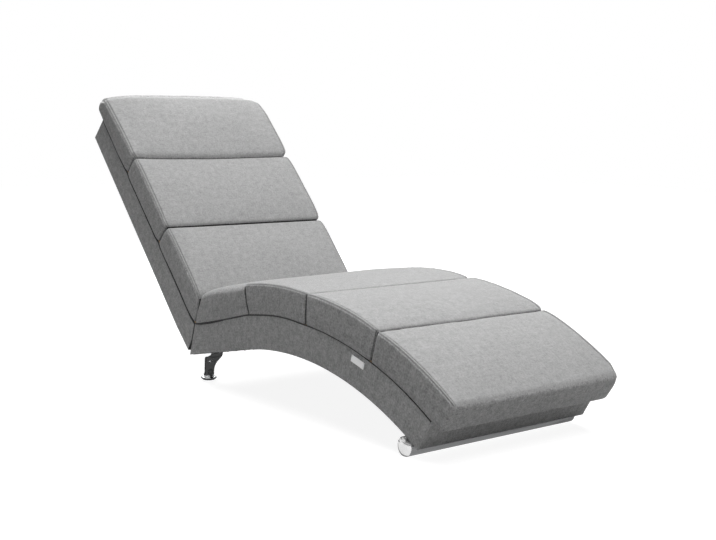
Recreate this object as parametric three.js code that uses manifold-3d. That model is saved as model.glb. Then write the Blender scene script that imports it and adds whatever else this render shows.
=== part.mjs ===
// An upholstered chaise longue: a straight reclined back and a long arched seat, each a
// wooden box with cushions on top, standing on two curved rear legs and a front foot tube.
// Millimetres, +X towards the foot end, +Y across the width, +Z up, floor at z = 0.

import * as THREE from "three";
import { mergeVertices } from "three/addons/utils/BufferGeometryUtils.js";
import Module from "manifold-3d";

const wasm = await Module();
wasm.setup();

// Side shape: the seat deck runs straight from the fold, then bends over one long arc
const chaiseWidth = 550;
const boxThickness = 87;
const straightLength = 251;
const bendRadius = 1060;
const seatDeckLength = 1035;
const backDeckLength = 793;
const foldDegrees = 122.2;
const bendStep = 38;

// Cushions, counted from the fold; the last of each row overhangs the end of its box
const seatCushionHeight = 83;
const seatCrown = 3;
const firstSeatShare = 0.5208;
const secondSeatShare = 0.2512;
const toeOverhang = 36;
const dartPlace = 268;
const dartReach = 12;
const dartTuck = 3;
const backCushionHeight = 76;
const backCrown = 5;
const lowBackShare = 0.3733;
const middleBackShare = 0.343;
const headOverhang = 51;
const headDrop = 9;
const headStep = 0.5;
const seamRound = 11;
const foldRound = 24;
const toeRound = 22;
const headRound = 30;
const rolledEdge = 20;
const sewnEdge = 9;
const sideSwell = 2;
const cushionProud = 6;
const seamTuck = 4;
const tuckReach = 22;
const stationStep = 36;
const wadding = 16;
const roundShares = [0, 0.1, 0.38, 1];
const edgeTurnShares = [0, 1 / 3, 2 / 3, 1];
const acrossShares = [0.7, 0.35];

// Wooden frame and its cloth
const clearance = 0.3;
const overrun = 20;
const plyThickness = 15;
const deckThickness = 5;
const coverCloth = 1.5;
const dustCloth = 1;
const railHeight = 58;
const legBoardReach = 62;
const footBoardReach = 52;
const notchDepth = 48;
const notchGap = 10;
const tipRise = 6;
const heelPlace = 55;
const heelDepth = 4;

// Side label
const labelLength = 50;
const labelHeight = 17;
const labelThickness = 0.6;
const labelDrop = 15;
const labelPlace = 733;

// Bolts and nuts
const boltDiameter = 8;
const headDiameter = 14;
const headHeight = 5;
const nutHeight = 6.5;
const washerDiameter = 16;
const washerThickness = 1.6;
const foldBoltDrop = 35;
const foldBoltInset = 85;
const boltSides = 16;
const nutSides = 6;

// Rear legs with screw-in disc feet
const rearClearance = 85;
const legInset = 55;
const legLean = 26;
const legSinkDepth = 20;
const legPinDiameter = 5;
const legPinLength = 8;
const legPinReach = 17;
const legFootDiameter = 30;
const legSides = 24;
const legHeightShares = [0, 0.22, 0.4, 0.56, 0.7, 0.84, 1];
const legGirthShares = [1, 1.02, 1.12, 1.32, 1.6, 1.84, 1.92];
const legLeanShares = [0, 0.03, 0.16, 0.4, 0.7, 0.92, 1];
const glideDiameter = 46;
const glideFloorDiameter = 32;
const glideHeight = 11;
const glideRim = 1.8;
const glideFlare = 7;
const glideCollarDiameter = 33;
const glideCollarHeight = 3;
const glideStudDiameter = 9;
const glideStudLength = 24;

// Front foot tube
const tubeDiameter = 47;
const tubeWall = 1.5;
const tubeOverhang = -4;
const tubeSetback = 44;
const tubeSides = 36;
const capDome = 6;
const capPlug = 12;
const capRadiusShares = [1, 0.86, 0.55, 0];
const capHeightShares = [0.3, 0.72, 0.94, 1];
const capFlatPlace = 7;
const capFlatDegrees = 24;
const saddleWeb = 1;
const saddleWidth = 30;
const saddleDepth = 10;
const saddleLength = 44;
const saddleInset = 42;

// Sizes that follow from the ones above
const halfWidth = chaiseWidth / 2;
const firstSeatLength = seatDeckLength * firstSeatShare;
const secondSeatLength = seatDeckLength * secondSeatShare;
const lowBackLength = backDeckLength * lowBackShare;
const middleBackLength = backDeckLength * middleBackShare;
const foldAngle = THREE.MathUtils.degToRad(foldDegrees);
const mitreAngle = foldAngle / 2;
const clothInset = coverCloth + clearance;
const deckBottom = -clearance - deckThickness;
const railTop = deckBottom - clearance;
const boardBottom = -boxThickness + dustCloth + clearance;
const boardTop = boardBottom + plyThickness;
const legTop = -boxThickness - clearance;
const innerHalf = halfWidth - clothInset - plyThickness - clearance;
const mitreGap = clearance / 2;
const mitreSlant = 1 / Math.tan(mitreAngle);
const railNear = mitreGap + clothInset;
const railFar = railNear + plyThickness;
const tubeRadius = tubeDiameter / 2;
const tubeCentreHeight = tubeRadius * Math.cos(Math.PI / tubeSides);
const tubeStation = seatDeckLength - tubeSetback;
const tubeDrop = -boxThickness - saddleWeb - 2 * clearance - tubeRadius;
const washerSeat = boardTop + clearance;
const legHeadSeat = washerSeat + washerThickness + clearance;
const legHeadTop = legHeadSeat + headHeight;
const legStation = mitreStation(legHeadTop, railFar) + washerDiameter / 2 + 2 * clearance;
const seatRise = standingAngle();
const foldHeight = rearClearance - turned(seatLocal(legStation, legTop), seatRise)[1];

// Turns a point of the side plane by an angle about the fold.
function turned([x, z], angle) {
  const c = Math.cos(angle);
  const s = Math.sin(angle);
  return [x * c - z * s, x * s + z * c];
}

// Where a mitred end lies along a deck, at a height above it and a distance from the mitre.
function mitreStation(above, gap) {
  return above * mitreSlant + gap / Math.sin(mitreAngle);
}

// A point of the seat's side before the chaise is leaned: along the deck and above it.
function seatLocal(along, above) {
  const bend = Math.max(0, along - straightLength) / bendRadius;
  const reach = bendRadius + above;
  const x = Math.min(along, straightLength) + reach * Math.sin(bend);
  return [x, reach * Math.cos(bend) - bendRadius];
}

// The rise of the straight deck that stands both the rear legs and the tube on the floor.
function standingAngle() {
  const leg = seatLocal(legStation, legTop);
  const tube = seatLocal(tubeStation, tubeDrop);
  const run = tube[0] - leg[0];
  const fall = tube[1] - leg[1];
  const drop = tubeCentreHeight - rearClearance;
  return Math.asin(drop / Math.hypot(run, fall)) - Math.atan2(fall, run);
}

function seatPoint(along, above) {
  const [x, z] = turned(seatLocal(along, above), seatRise);
  return [x, z + foldHeight];
}

function backPoint(along, above) {
  const [x, z] = turned([along, -above], seatRise + foldAngle);
  return [x, z + foldHeight];
}

// A line of the seat's side at one height above the deck, in short steps round the bend.
function seatLine(from, to, above) {
  const bendStart = Math.max(from, straightLength);
  const steps = Math.max(1, Math.ceil((to - bendStart) / bendStep));
  const points = from < straightLength ? [seatPoint(from, above)] : [];
  for (let i = 0; i <= steps; i += 1) {
    points.push(seatPoint(bendStart + ((to - bendStart) * i) / steps, above));
  }
  return points;
}

// The seat's side outline between two heights, from the mitre to the front end.
function seatOutline(top, bottom, rearGap, frontInset) {
  const front = seatDeckLength - frontInset;
  const upper = seatLine(mitreStation(top, rearGap), front, top);
  const lower = seatLine(mitreStation(bottom, rearGap), front, bottom);
  return [...upper, ...lower.reverse()];
}

// The back box's side outline, along and above its deck, with the notch at the fold.
function backCorners() {
  const tipDepth = -boxThickness + tipRise;
  return [
    [mitreStation(-clearance, mitreGap), -clearance],
    [mitreStation(-notchDepth, mitreGap), -notchDepth],
    [mitreStation(tipDepth, notchGap), tipDepth],
    [heelPlace, -boxThickness - heelDepth],
    [backDeckLength, -boxThickness],
    [backDeckLength, -clearance],
  ];
}

// Moves every edge of an outline inwards; the last edge, at the deck, has its own distance.
function inset(corners, distance, deckDistance) {
  const count = corners.length;
  const edges = corners.map(([x, z], i) => {
    const [nextX, nextZ] = corners[(i + 1) % count];
    const length = Math.hypot(nextX - x, nextZ - z);
    const way = [(nextX - x) / length, (nextZ - z) / length];
    const shift = i === count - 1 ? deckDistance : distance;
    return { at: [x - way[1] * shift, z + way[0] * shift], way };
  });
  return edges.map((edge, i) => {
    const before = edges[(i + count - 1) % count];
    const cross = before.way[0] * edge.way[1] - before.way[1] * edge.way[0];
    const dx = edge.at[0] - before.at[0];
    const dz = edge.at[1] - before.at[1];
    const reach = (dx * edge.way[1] - dz * edge.way[0]) / cross;
    return [before.at[0] + before.way[0] * reach, before.at[1] + before.way[1] * reach];
  });
}

function backOutline(distance, deckDistance) {
  const corners = inset(backCorners(), distance, deckDistance);
  return corners.map(([along, above]) => backPoint(along, above));
}

// A slab with a side outline of [x, z] points, between two places across the width.
function slab(outline, yFrom, yTo) {
  const shape = new THREE.Shape(outline.map(([x, z]) => new THREE.Vector2(x, z)));
  const options = { depth: yTo - yFrom, bevelEnabled: false };
  const geometry = new THREE.ExtrudeGeometry(shape, options);
  geometry.rotateX(Math.PI / 2);
  return geometry.translate(0, yTo, 0);
}

// A four-cornered piece between two stations and two heights of a deck.
function block(point, from, to, top, bottom, yHalf) {
  const corners = [point(from, top), point(to, top), point(to, bottom), point(from, bottom)];
  return slab(corners, -yHalf, yHalf);
}

function solidOf(geometry) {
  const bare = geometry.clone();
  bare.deleteAttribute("normal");
  bare.deleteAttribute("uv");
  const merged = mergeVertices(bare);
  const vertProperties = merged.attributes.position.array;
  const triVerts = new Uint32Array(merged.index.array);
  return new wasm.Manifold(new wasm.Mesh({ numProp: 3, vertProperties, triVerts }));
}

function geometryOf(solid) {
  const mesh = solid.getMesh();
  const geometry = new THREE.BufferGeometry();
  geometry.setAttribute("position", new THREE.BufferAttribute(mesh.vertProperties, 3));
  geometry.setIndex(new THREE.BufferAttribute(mesh.triVerts, 1));
  geometry.computeVertexNormals();
  return geometry;
}

function cut(geometry, cutters) {
  const start = solidOf(geometry);
  return geometryOf(cutters.reduce((rest, cutter) => rest.subtract(solidOf(cutter)), start));
}

function joined(geometry, added) {
  return geometryOf(solidOf(geometry).add(solidOf(added)));
}

// A turned piece whose axis starts at a point and runs along a direction.
function turnedPiece(profile, sides, [x, y, z], direction) {
  const points = profile.map(([radius, height]) => new THREE.Vector2(radius, height));
  const geometry = new THREE.LatheGeometry(points, sides);
  geometry.rotateY(Math.PI / sides);
  const up = new THREE.Vector3(0, 1, 0);
  geometry.applyQuaternion(new THREE.Quaternion().setFromUnitVectors(up, direction));
  return geometry.translate(x, y, z);
}

function rod(diameter, from, to, sides, origin, direction) {
  const radius = diameter / 2;
  return turnedPiece([[0, from], [radius, from], [radius, to], [0, to]], sides, origin, direction);
}

// Skins a row of rings that all have the same number of points into one closed body.
function lofted(rings) {
  const count = rings[0].length;
  const last = (rings.length - 1) * count;
  const index = [];
  for (let r = 0; r < last; r += count) {
    for (let i = 0; i < count; i += 1) {
      const j = (i + 1) % count;
      index.push(r + i, r + count + i, r + count + j, r + i, r + count + j, r + j);
    }
  }
  for (let i = 1; i < count - 1; i += 1) {
    index.push(0, i, i + 1, last, last + i + 1, last + i);
  }
  const geometry = new THREE.BufferGeometry();
  geometry.setAttribute("position", new THREE.Float32BufferAttribute(rings.flat(2), 3));
  geometry.setIndex(index);
  geometry.computeVertexNormals();
  return geometry;
}

// How far a rounded end has fallen at a distance from that end.
function roundFall(distance, radius) {
  if (distance >= radius) return 0;
  return radius - Math.sqrt(radius * radius - (radius - distance) ** 2);
}

// Places of a cushion's cross sections, close together at both rounded ends.
function cushionStations(cushion) {
  const { from, to, startRound, endRound, extra } = cushion;
  const start = roundShares.map((share) => from + share * startRound);
  const end = roundShares.map((share) => to - share * endRound);
  const first = from + startRound;
  const reach = to - endRound - first;
  const middle = [];
  const steps = Math.ceil(reach / stationStep);
  for (let i = 1; i < steps; i += 1) {
    const place = first + (reach * i) / steps;
    const clear = extra.every((other) => Math.abs(other - place) > dartReach);
    if (clear) middle.push(place);
  }
  return [...start, ...middle, ...extra, ...end].sort((a, b) => a - b);
}

// One cross section of a cushion: drawn-in sides, rounded edges and a crowned top.
function cushionRing(cushion, station) {
  const { point, hand, from, to, height, crown, startRound, endRound, slant } = cushion;
  const share = (station - from) / (to - from);
  const fall = roundFall(station - from, startRound) + roundFall(to - station, endRound);
  const swellHere = Math.sin(Math.PI * share);
  const top = height - fall + crown * (swellHere - 1);
  const tuck = roundFall(station - from, tuckReach) + roundFall(to - station, tuckReach);
  const dart = cushion.dart(station);
  const widest = halfWidth + cushionProud;
  const half = widest - sideSwell - (seamTuck * tuck) / tuckReach - dart;
  const edge = cushion.edge(station);
  const base = cushion.base(station);
  const profile = [[half, base], [half + sideSwell * swellHere, (base + top - edge) / 2]];
  for (const turn of edgeTurnShares) {
    const angle = (turn * Math.PI) / 2;
    const y = half - edge + edge * Math.cos(angle);
    profile.push([y, top - edge + edge * Math.sin(angle)]);
  }
  for (const across of acrossShares) {
    profile.push([(half - edge) * across, top + crown * swellHere * (1 - across * across)]);
  }
  const middle = [[0, top + crown * swellHere]];
  const mirrored = profile.map(([y, above]) => [-y, above]);
  return [...mirrored, ...middle, ...profile.reverse()].map(([y, above]) => {
    const [x, z] = point(station + slant * (1 - share) * above, above);
    return [x, hand * y, z];
  });
}

// The block of foam inside a cushion, or the room for it in the cover.
function foamBlock(cushion, inward, bottom) {
  const { from, to, height, crown, slant, line } = cushion;
  const top = height - crown - wadding - inward;
  const start = from + wadding + inward;
  const end = Math.min(to, cushion.deckEnd) - wadding - inward;
  const upper = line(start + slant * top, end, top);
  const lower = line(start + slant * bottom, end, bottom);
  const half = halfWidth - wadding - inward;
  return slab([...upper, ...lower.reverse()], -half, half);
}

function cushionCover(cushion) {
  const rings = cushionStations(cushion).map((station) => cushionRing(cushion, station));
  return cut(lofted(rings), [foamBlock(cushion, 0, -overrun)]);
}

function backLine(from, to, above) {
  return [backPoint(from, above), backPoint(to, above)];
}

const plain = {
  startRound: seamRound,
  endRound: seamRound,
  slant: 0,
  extra: [],
  dart: () => 0,
  edge: () => sewnEdge,
  base: () => 0,
};

const onSeat = {
  ...plain,
  point: seatPoint,
  line: seatLine,
  hand: 1,
  height: seatCushionHeight,
  crown: seatCrown,
  deckEnd: seatDeckLength,
};

const onBack = {
  ...plain,
  point: backPoint,
  line: backLine,
  hand: -1,
  height: backCushionHeight,
  crown: backCrown,
  deckEnd: backDeckLength,
};

const atFold = {
  from: mitreStation(0, mitreGap),
  startRound: foldRound,
  slant: mitreSlant,
};

// The rolled edge of the first cushion gives way to a sewn one at its side dart.
function firstEdge(station) {
  const share = THREE.MathUtils.smoothstep(station, dartPlace - dartReach, dartPlace + dartReach);
  return THREE.MathUtils.lerp(rolledEdge, sewnEdge, share);
}

function firstDart(station) {
  return dartTuck * Math.max(0, 1 - Math.abs(station - dartPlace) / dartReach);
}

function seatCushions() {
  const firstSeam = firstSeatLength;
  const secondSeam = firstSeam + secondSeatLength;
  const toe = seatDeckLength + toeOverhang;
  const extra = [dartPlace - dartReach, dartPlace, dartPlace + dartReach];
  return [
    { ...onSeat, ...atFold, to: firstSeam - mitreGap, edge: firstEdge, dart: firstDart, extra },
    { ...onSeat, from: firstSeam + mitreGap, to: secondSeam - mitreGap },
    { ...onSeat, from: secondSeam + mitreGap, to: toe, endRound: toeRound },
  ];
}

function backCushions() {
  const lowSeam = lowBackLength;
  const highSeam = lowSeam + middleBackLength;
  const crest = backDeckLength + headOverhang;
  const rim = backDeckLength + clearance;
  const base = (station) => (station > rim ? -headDrop : 0);
  const extra = [rim, rim + headStep];
  const head = { from: highSeam + mitreGap, to: crest, endRound: headRound, base, extra };
  return [
    { ...onBack, ...atFold, to: lowSeam - mitreGap },
    { ...onBack, from: lowSeam + mitreGap, to: highSeam - mitreGap },
    { ...onBack, ...head },
  ];
}

// The cross direction of the mitre, from the back towards the seat.
function mitreAxis() {
  const [x, z] = turned([Math.sin(mitreAngle), -Math.cos(mitreAngle)], seatRise);
  return new THREE.Vector3(x, 0, z);
}

function seatNormal(along) {
  const slope = seatRise - Math.max(0, along - straightLength) / bendRadius;
  return new THREE.Vector3(-Math.sin(slope), 0, Math.cos(slope));
}

// The two places across the width that lie at one distance from the sides.
function sidePlaces(sideInset) {
  return { right: sideInset - halfWidth, left: halfWidth - sideInset };
}

// A bolt along an axis: its shank from the end to the seat of the head, and the head.
function bolt(origin, direction, end, headSeat) {
  const radius = boltDiameter / 2;
  const head = headDiameter / 2;
  const top = headSeat + headHeight;
  const profile = [[0, end], [radius, end], [radius, headSeat], [head, headSeat], [head, top]];
  return turnedPiece([...profile, [0, top]], boltSides, origin, direction);
}

// A nut with its bore, from a seat face along its axis.
function nut(origin, direction, seat) {
  const end = seat + nutHeight;
  const hole = boltDiameter + 2 * clearance;
  const body = rod(headDiameter, seat, end, nutSides, origin, direction);
  return cut(body, [rod(hole, seat - overrun, end + overrun, boltSides, origin, direction)]);
}

function washer(origin, direction, seat) {
  const outer = washerDiameter / 2;
  const inner = boltDiameter / 2 + clearance;
  const top = seat + washerThickness;
  const profile = [[inner, seat], [outer, seat], [outer, top], [inner, top], [inner, seat]];
  return turnedPiece(profile, boltSides, origin, direction);
}

// Bolts of the fold joint, square to the mitre
const foldBoltWay = mitreAxis();
const foldBoltStation = -foldBoltDrop * Math.cos(mitreAngle);
const foldBoltAbove = -foldBoltDrop * Math.sin(mitreAngle);
const foldBoltPoint = seatPoint(foldBoltStation, foldBoltAbove);
const foldBoltPlaces = { ...sidePlaces(foldBoltInset), middle: 0 };

function foldBoltOrigin(y) {
  return [foldBoltPoint[0], y, foldBoltPoint[1]];
}

function foldBoltHoles() {
  const hole = boltDiameter + 2 * clearance;
  return Object.values(foldBoltPlaces).map((y) =>
    rod(hole, -overrun - railFar, overrun + railFar, boltSides, foldBoltOrigin(y), foldBoltWay));
}

// Fixings of the rear legs and the front tube, square to the underside
const legNormal = seatNormal(0);
const legPoint = seatPoint(legStation, 0);
const tubeNormal = seatNormal(tubeStation);
const tubePoint = seatPoint(tubeStation, 0);
const tubeAxisPoint = seatPoint(tubeStation, tubeDrop);
const tubeEnd = halfWidth + tubeOverhang;
const legPlaces = sidePlaces(legInset);
const tubeFixings = sidePlaces(saddleInset);

function legOrigin(y) {
  return [legPoint[0], y, legPoint[1]];
}

function tubeOrigin(y) {
  return [tubePoint[0], y, tubePoint[1]];
}

function holesUp(places, origin, normal, diameter, from, to) {
  return Object.values(places).map((y) => rod(diameter, from, to, boltSides, origin(y), normal));
}

function legHoles() {
  const hole = boltDiameter + 2 * clearance;
  return holesUp(legPlaces, legOrigin, legNormal, hole, legTop - overrun, boardTop + overrun);
}

function legPin(y, diameter, from, to) {
  const pinPoint = seatPoint(legStation + legPinReach, 0);
  return rod(diameter, from, to, boltSides, [pinPoint[0], y, pinPoint[1]], legNormal);
}

function legPinHoles() {
  const hole = legPinDiameter + 2 * clearance;
  const end = legTop + legPinLength + clearance;
  return Object.values(legPlaces).map((y) => legPin(y, hole, legTop - overrun, end));
}

function tubeHoles() {
  const hole = boltDiameter + 2 * clearance;
  const top = boardTop + overrun;
  return holesUp(tubeFixings, tubeOrigin, tubeNormal, hole, tubeDrop, top);
}

// A curved leg, round in section, that widens and leans forward up to the sloping underside.
function rearLeg(y) {
  const [topX, topZ] = seatPoint(legStation, legTop);
  const bottom = glideHeight + glideCollarHeight + clearance;
  const rings = legHeightShares.map((share, r) => {
    const radius = (legFootDiameter / 2) * legGirthShares[r];
    const x = topX - legLean * (1 - legLeanShares[r]);
    const z = THREE.MathUtils.lerp(bottom, topZ, share);
    const tilt = seatRise * share;
    return Array.from({ length: legSides }, (_, i) => {
      const angle = (2 * Math.PI * i) / legSides;
      const out = radius * Math.cos(angle);
      return [x + out * Math.cos(tilt), y - radius * Math.sin(angle), z + out * Math.sin(tilt)];
    });
  });
  const hole = boltDiameter + 2 * clearance;
  const bore = glideStudDiameter + 2 * clearance;
  const boreTop = bottom + glideStudLength;
  const down = new THREE.Vector3(0, 0, 1);
  const body = cut(lofted(rings), [
    rod(hole, legTop - legSinkDepth, overrun, boltSides, legOrigin(y), legNormal),
    rod(bore, bottom - overrun, boreTop, boltSides, [topX - legLean, y, 0], down),
  ]);
  return joined(body, legPin(y, legPinDiameter, legTop - legPinLength, legTop + legPinLength));
}

// A disc foot with its collar and threaded stud, turned in one piece.
function rearGlide(y) {
  const topX = seatPoint(legStation, legTop)[0];
  const rim = glideDiameter / 2;
  const collar = glideCollarDiameter / 2;
  const stud = glideStudDiameter / 2;
  const collarTop = glideHeight + glideCollarHeight;
  const studTop = collarTop + glideStudLength - clearance;
  const profile = [
    [0, 0],
    [glideFloorDiameter / 2, 0],
    [rim, glideFlare],
    [rim, glideHeight - glideRim],
    [rim - glideRim, glideHeight],
    [collar, glideHeight],
    [collar, collarTop],
    [stud, collarTop],
    [stud, studTop],
    [0, studTop],
  ];
  const up = new THREE.Vector3(0, 0, 1);
  return turnedPiece(profile, legSides, [topX - legLean, y, 0], up);
}

const across = new THREE.Vector3(0, 1, 0);
const tubeCentre = [tubeAxisPoint[0], 0, tubeAxisPoint[1]];

function frontTube() {
  const inner = tubeRadius - tubeWall;
  const profile = [
    [inner, -tubeEnd],
    [tubeRadius, -tubeEnd],
    [tubeRadius, tubeEnd],
    [inner, tubeEnd],
    [inner, -tubeEnd],
  ];
  const body = turnedPiece(profile, tubeSides, tubeCentre, across);
  return cut(body, tubeHoles());
}

// A domed cap with a plug inside the tube and a flat towards the box.
function tubeCap(side) {
  const plug = tubeRadius - tubeWall - clearance;
  const start = tubeEnd + clearance;
  const inside = [[0, start - capPlug], [plug, start - capPlug], [plug, start]];
  const dome = capRadiusShares.map((share, i) => {
    return [tubeRadius * share, start + capDome * capHeightShares[i]];
  });
  const profile = [...inside, [tubeRadius, start], ...dome];
  const cap = turnedPiece(profile, tubeSides, tubeCentre, new THREE.Vector3(0, side, 0));
  const flat = new THREE.BoxGeometry(2 * tubeDiameter, tubeDiameter, tubeDiameter);
  flat.translate(0, (side * tubeDiameter) / 2, tubeRadius);
  flat.rotateX(side * THREE.MathUtils.degToRad(capFlatDegrees));
  flat.translate(0, side * (start + capDome), capFlatPlace);
  flat.rotateY(Math.atan2(tubeNormal.x, tubeNormal.z));
  flat.translate(...tubeCentre);
  return cut(cap, [flat]);
}

// A saddle that fills the wedge between the round tube and the underside.
function tubeSaddle(y) {
  const top = -boxThickness - clearance;
  const half = saddleWidth / 2;
  const from = tubeStation - half;
  const to = tubeStation + half;
  const corners = [
    seatPoint(from, top),
    seatPoint(to, top),
    seatPoint(to, top - saddleDepth),
    seatPoint(from, top - saddleDepth),
  ];
  const body = slab(corners, y - saddleLength / 2, y + saddleLength / 2);
  const room = rod(tubeDiameter + 2 * clearance, -tubeEnd, tubeEnd, tubeSides, tubeCentre, across);
  return cut(body, [room, ...tubeHoles()]);
}

// The nut inside the tube lies flat under its curved wall, held by its corners.
function tubeNut(y) {
  const inner = tubeRadius - tubeWall - clearance;
  const corner = headDiameter / 2;
  const seat = tubeDrop + Math.sqrt(inner * inner - corner * corner) - nutHeight;
  return nut(tubeOrigin(y), tubeNormal, seat);
}

// Cloth of the seat box: a band round both sides, the front end and the mitred end.
function seatBoxCover() {
  const outer = slab(seatOutline(-clearance, -boxThickness, mitreGap, 0), -halfWidth, halfWidth);
  const inner = halfWidth - coverCloth;
  const room = seatOutline(overrun, -boxThickness - overrun, mitreGap + coverCloth, coverCloth);
  return cut(outer, [slab(room, -inner, inner), ...foldBoltHoles()]);
}

function seatDustCover() {
  const outline = seatOutline(boardBottom - clearance, -boxThickness, railNear, clothInset);
  const half = halfWidth - clothInset;
  return cut(slab(outline, -half, half), [...legHoles(), ...legPinHoles(), ...tubeHoles()]);
}

function seatDeck() {
  const half = halfWidth - clothInset;
  return slab(seatOutline(-clearance, deckBottom, railNear, clothInset), -half, half);
}

function seatSide(side) {
  const outline = seatOutline(railTop, boardBottom, railNear, clothInset);
  const outer = halfWidth - clothInset;
  const inner = outer - plyThickness;
  return side > 0 ? slab(outline, inner, outer) : slab(outline, -outer, -inner);
}

// A rail that lies along the mitre, with the holes of the fold bolts.
function mitreRail(point, bottom) {
  const corners = [
    point(mitreStation(railTop, railNear), railTop),
    point(mitreStation(railTop, railFar), railTop),
    point(mitreStation(bottom, railFar), bottom),
    point(mitreStation(bottom, railNear), bottom),
  ];
  return cut(slab(corners, -innerHalf, innerHalf), foldBoltHoles());
}

function crossRail(point, place) {
  const half = plyThickness / 2;
  return block(point, place - half, place + half, railTop, railTop - railHeight, innerHalf);
}

function seatFrontRail() {
  const to = seatDeckLength - clothInset;
  return block(seatPoint, to - plyThickness, to, railTop, boardBottom, innerHalf);
}

function legBoard() {
  const corners = [
    seatPoint(mitreStation(boardTop, railNear), boardTop),
    seatPoint(legBoardReach, boardTop),
    seatPoint(legBoardReach, boardBottom),
    seatPoint(mitreStation(boardBottom, railNear), boardBottom),
  ];
  return cut(slab(corners, -innerHalf, innerHalf), [...legHoles(), ...legPinHoles()]);
}

function footBoard() {
  const to = seatDeckLength - clothInset - plyThickness - clearance;
  const upper = seatLine(tubeStation - footBoardReach, to, boardTop);
  const lower = seatLine(tubeStation - footBoardReach, to, boardBottom);
  return cut(slab([...upper, ...lower.reverse()], -innerHalf, innerHalf), tubeHoles());
}

function backBoxCover() {
  const outer = slab(backOutline(0, 0), -halfWidth, halfWidth);
  const inner = halfWidth - coverCloth;
  const room = slab(backOutline(coverCloth, -overrun), -inner, inner);
  return cut(outer, [room, ...foldBoltHoles()]);
}

function backSide(side) {
  const outline = backOutline(clothInset, deckThickness + clearance);
  const outer = halfWidth - clothInset;
  const inner = outer - plyThickness;
  return side > 0 ? slab(outline, inner, outer) : slab(outline, -outer, -inner);
}

function backDeck() {
  const end = backDeckLength - clothInset;
  const corners = [
    backPoint(mitreStation(-clearance, railNear), -clearance),
    backPoint(end, -clearance),
    backPoint(end, deckBottom),
    backPoint(mitreStation(deckBottom, railNear), deckBottom),
  ];
  const half = halfWidth - clothInset;
  return slab(corners, -half, half);
}

function backTopRail() {
  const to = backDeckLength - clothInset;
  const bottom = -boxThickness + clothInset;
  return block(backPoint, to - plyThickness, to, railTop, bottom, innerHalf);
}

function sideLabel() {
  const top = -labelDrop;
  const bottom = top - labelHeight;
  const end = labelPlace + labelLength;
  const face = halfWidth + clearance;
  const corners = [
    seatPoint(labelPlace, top),
    seatPoint(end, top),
    seatPoint(end, bottom),
    seatPoint(labelPlace, bottom),
  ];
  return slab(corners, -face - labelThickness, -face);
}

// Finishes: base colour, roughness and metalness
const finishes = {
  linen: ["#a4a4a4", 0.95, 0],
  boxLinen: ["#8f8f8f", 0.95, 0],
  foam: ["#e6dfc6", 1, 0],
  ply: ["#c8a878", 0.7, 0],
  dust: ["#1c1c1c", 1, 0],
  label: ["#f2f2f0", 0.6, 0],
  steel: ["#9a9da0", 0.4, 1],
  chrome: ["#d8dadc", 0.12, 1],
};

const chaise = new THREE.Group();

function add(name, finish, geometry) {
  const [color, roughness, metalness] = finishes[finish];
  const material = new THREE.MeshStandardMaterial({ color, roughness, metalness });
  const mesh = new THREE.Mesh(geometry, material);
  mesh.name = name;
  chaise.add(mesh);
}

function addCushions(part, cushions) {
  cushions.forEach((cushion, i) => {
    add(`${part}_cushion_${i + 1}`, "linen", cushionCover(cushion));
    add(`${part}_foam_${i + 1}`, "foam", foamBlock(cushion, clearance, 0));
  });
}

function addSeat() {
  add("seat_side_left", "ply", seatSide(1));
  add("seat_side_right", "ply", seatSide(-1));
  add("seat_rear_rail", "ply", mitreRail(seatPoint, boardTop + clearance));
  add("seat_front_rail", "ply", seatFrontRail());
  const seams = [dartPlace, firstSeatLength, firstSeatLength + secondSeatLength];
  seams.forEach((place, i) => add(`seat_rail_${i + 1}`, "ply", crossRail(seatPoint, place)));
  add("seat_leg_board", "ply", legBoard());
  add("seat_foot_board", "ply", footBoard());
  add("seat_deck", "ply", seatDeck());
  add("seat_box_cover", "boxLinen", seatBoxCover());
  add("seat_dust_cover", "dust", seatDustCover());
  add("side_label", "label", sideLabel());
  addCushions("seat", seatCushions());
}

function addBack() {
  add("back_side_left", "ply", backSide(1));
  add("back_side_right", "ply", backSide(-1));
  add("back_bottom_rail", "ply", mitreRail(backPoint, -notchDepth));
  add("back_top_rail", "ply", backTopRail());
  const seams = [lowBackLength, lowBackLength + middleBackLength];
  seams.forEach((place, i) => add(`back_rail_${i + 1}`, "ply", crossRail(backPoint, place)));
  add("back_deck", "ply", backDeck());
  add("back_box_cover", "boxLinen", backBoxCover());
  addCushions("back", backCushions());
}

function addFoldBolts() {
  const nutSeat = -railFar - clearance - nutHeight;
  for (const [place, y] of Object.entries(foldBoltPlaces)) {
    const origin = foldBoltOrigin(y);
    add(`fold_bolt_${place}`, "steel", bolt(origin, foldBoltWay, nutSeat, railFar + clearance));
    add(`fold_nut_${place}`, "steel", nut(origin, foldBoltWay, nutSeat));
  }
}

function addRearLegs() {
  for (const [side, y] of Object.entries(legPlaces)) {
    const end = legTop - legSinkDepth + clearance;
    add(`rear_leg_${side}`, "chrome", rearLeg(y));
    add(`rear_leg_washer_${side}`, "steel", washer(legOrigin(y), legNormal, washerSeat));
    add(`rear_leg_bolt_${side}`, "steel", bolt(legOrigin(y), legNormal, end, legHeadSeat));
    add(`rear_glide_${side}`, "chrome", rearGlide(y));
  }
}

function addFrontFoot() {
  add("front_tube", "chrome", frontTube());
  for (const [side, y] of Object.entries(tubeFixings)) {
    const headSeat = boardTop + clearance;
    add(`front_cap_${side}`, "chrome", tubeCap(Math.sign(y)));
    add(`front_saddle_${side}`, "chrome", tubeSaddle(y));
    add(`front_bolt_${side}`, "steel", bolt(tubeOrigin(y), tubeNormal, tubeDrop, headSeat));
    add(`front_nut_${side}`, "steel", tubeNut(y));
  }
}

addSeat();
addBack();
addFoldBolts();
addRearLegs();
addFrontFoot();

// The origin lies on the floor, in the middle of the length and the width
const bounds = new THREE.Box3().setFromObject(chaise);
chaise.position.x = -(bounds.min.x + bounds.max.x) / 2;

export default chaise;
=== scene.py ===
import math

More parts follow.
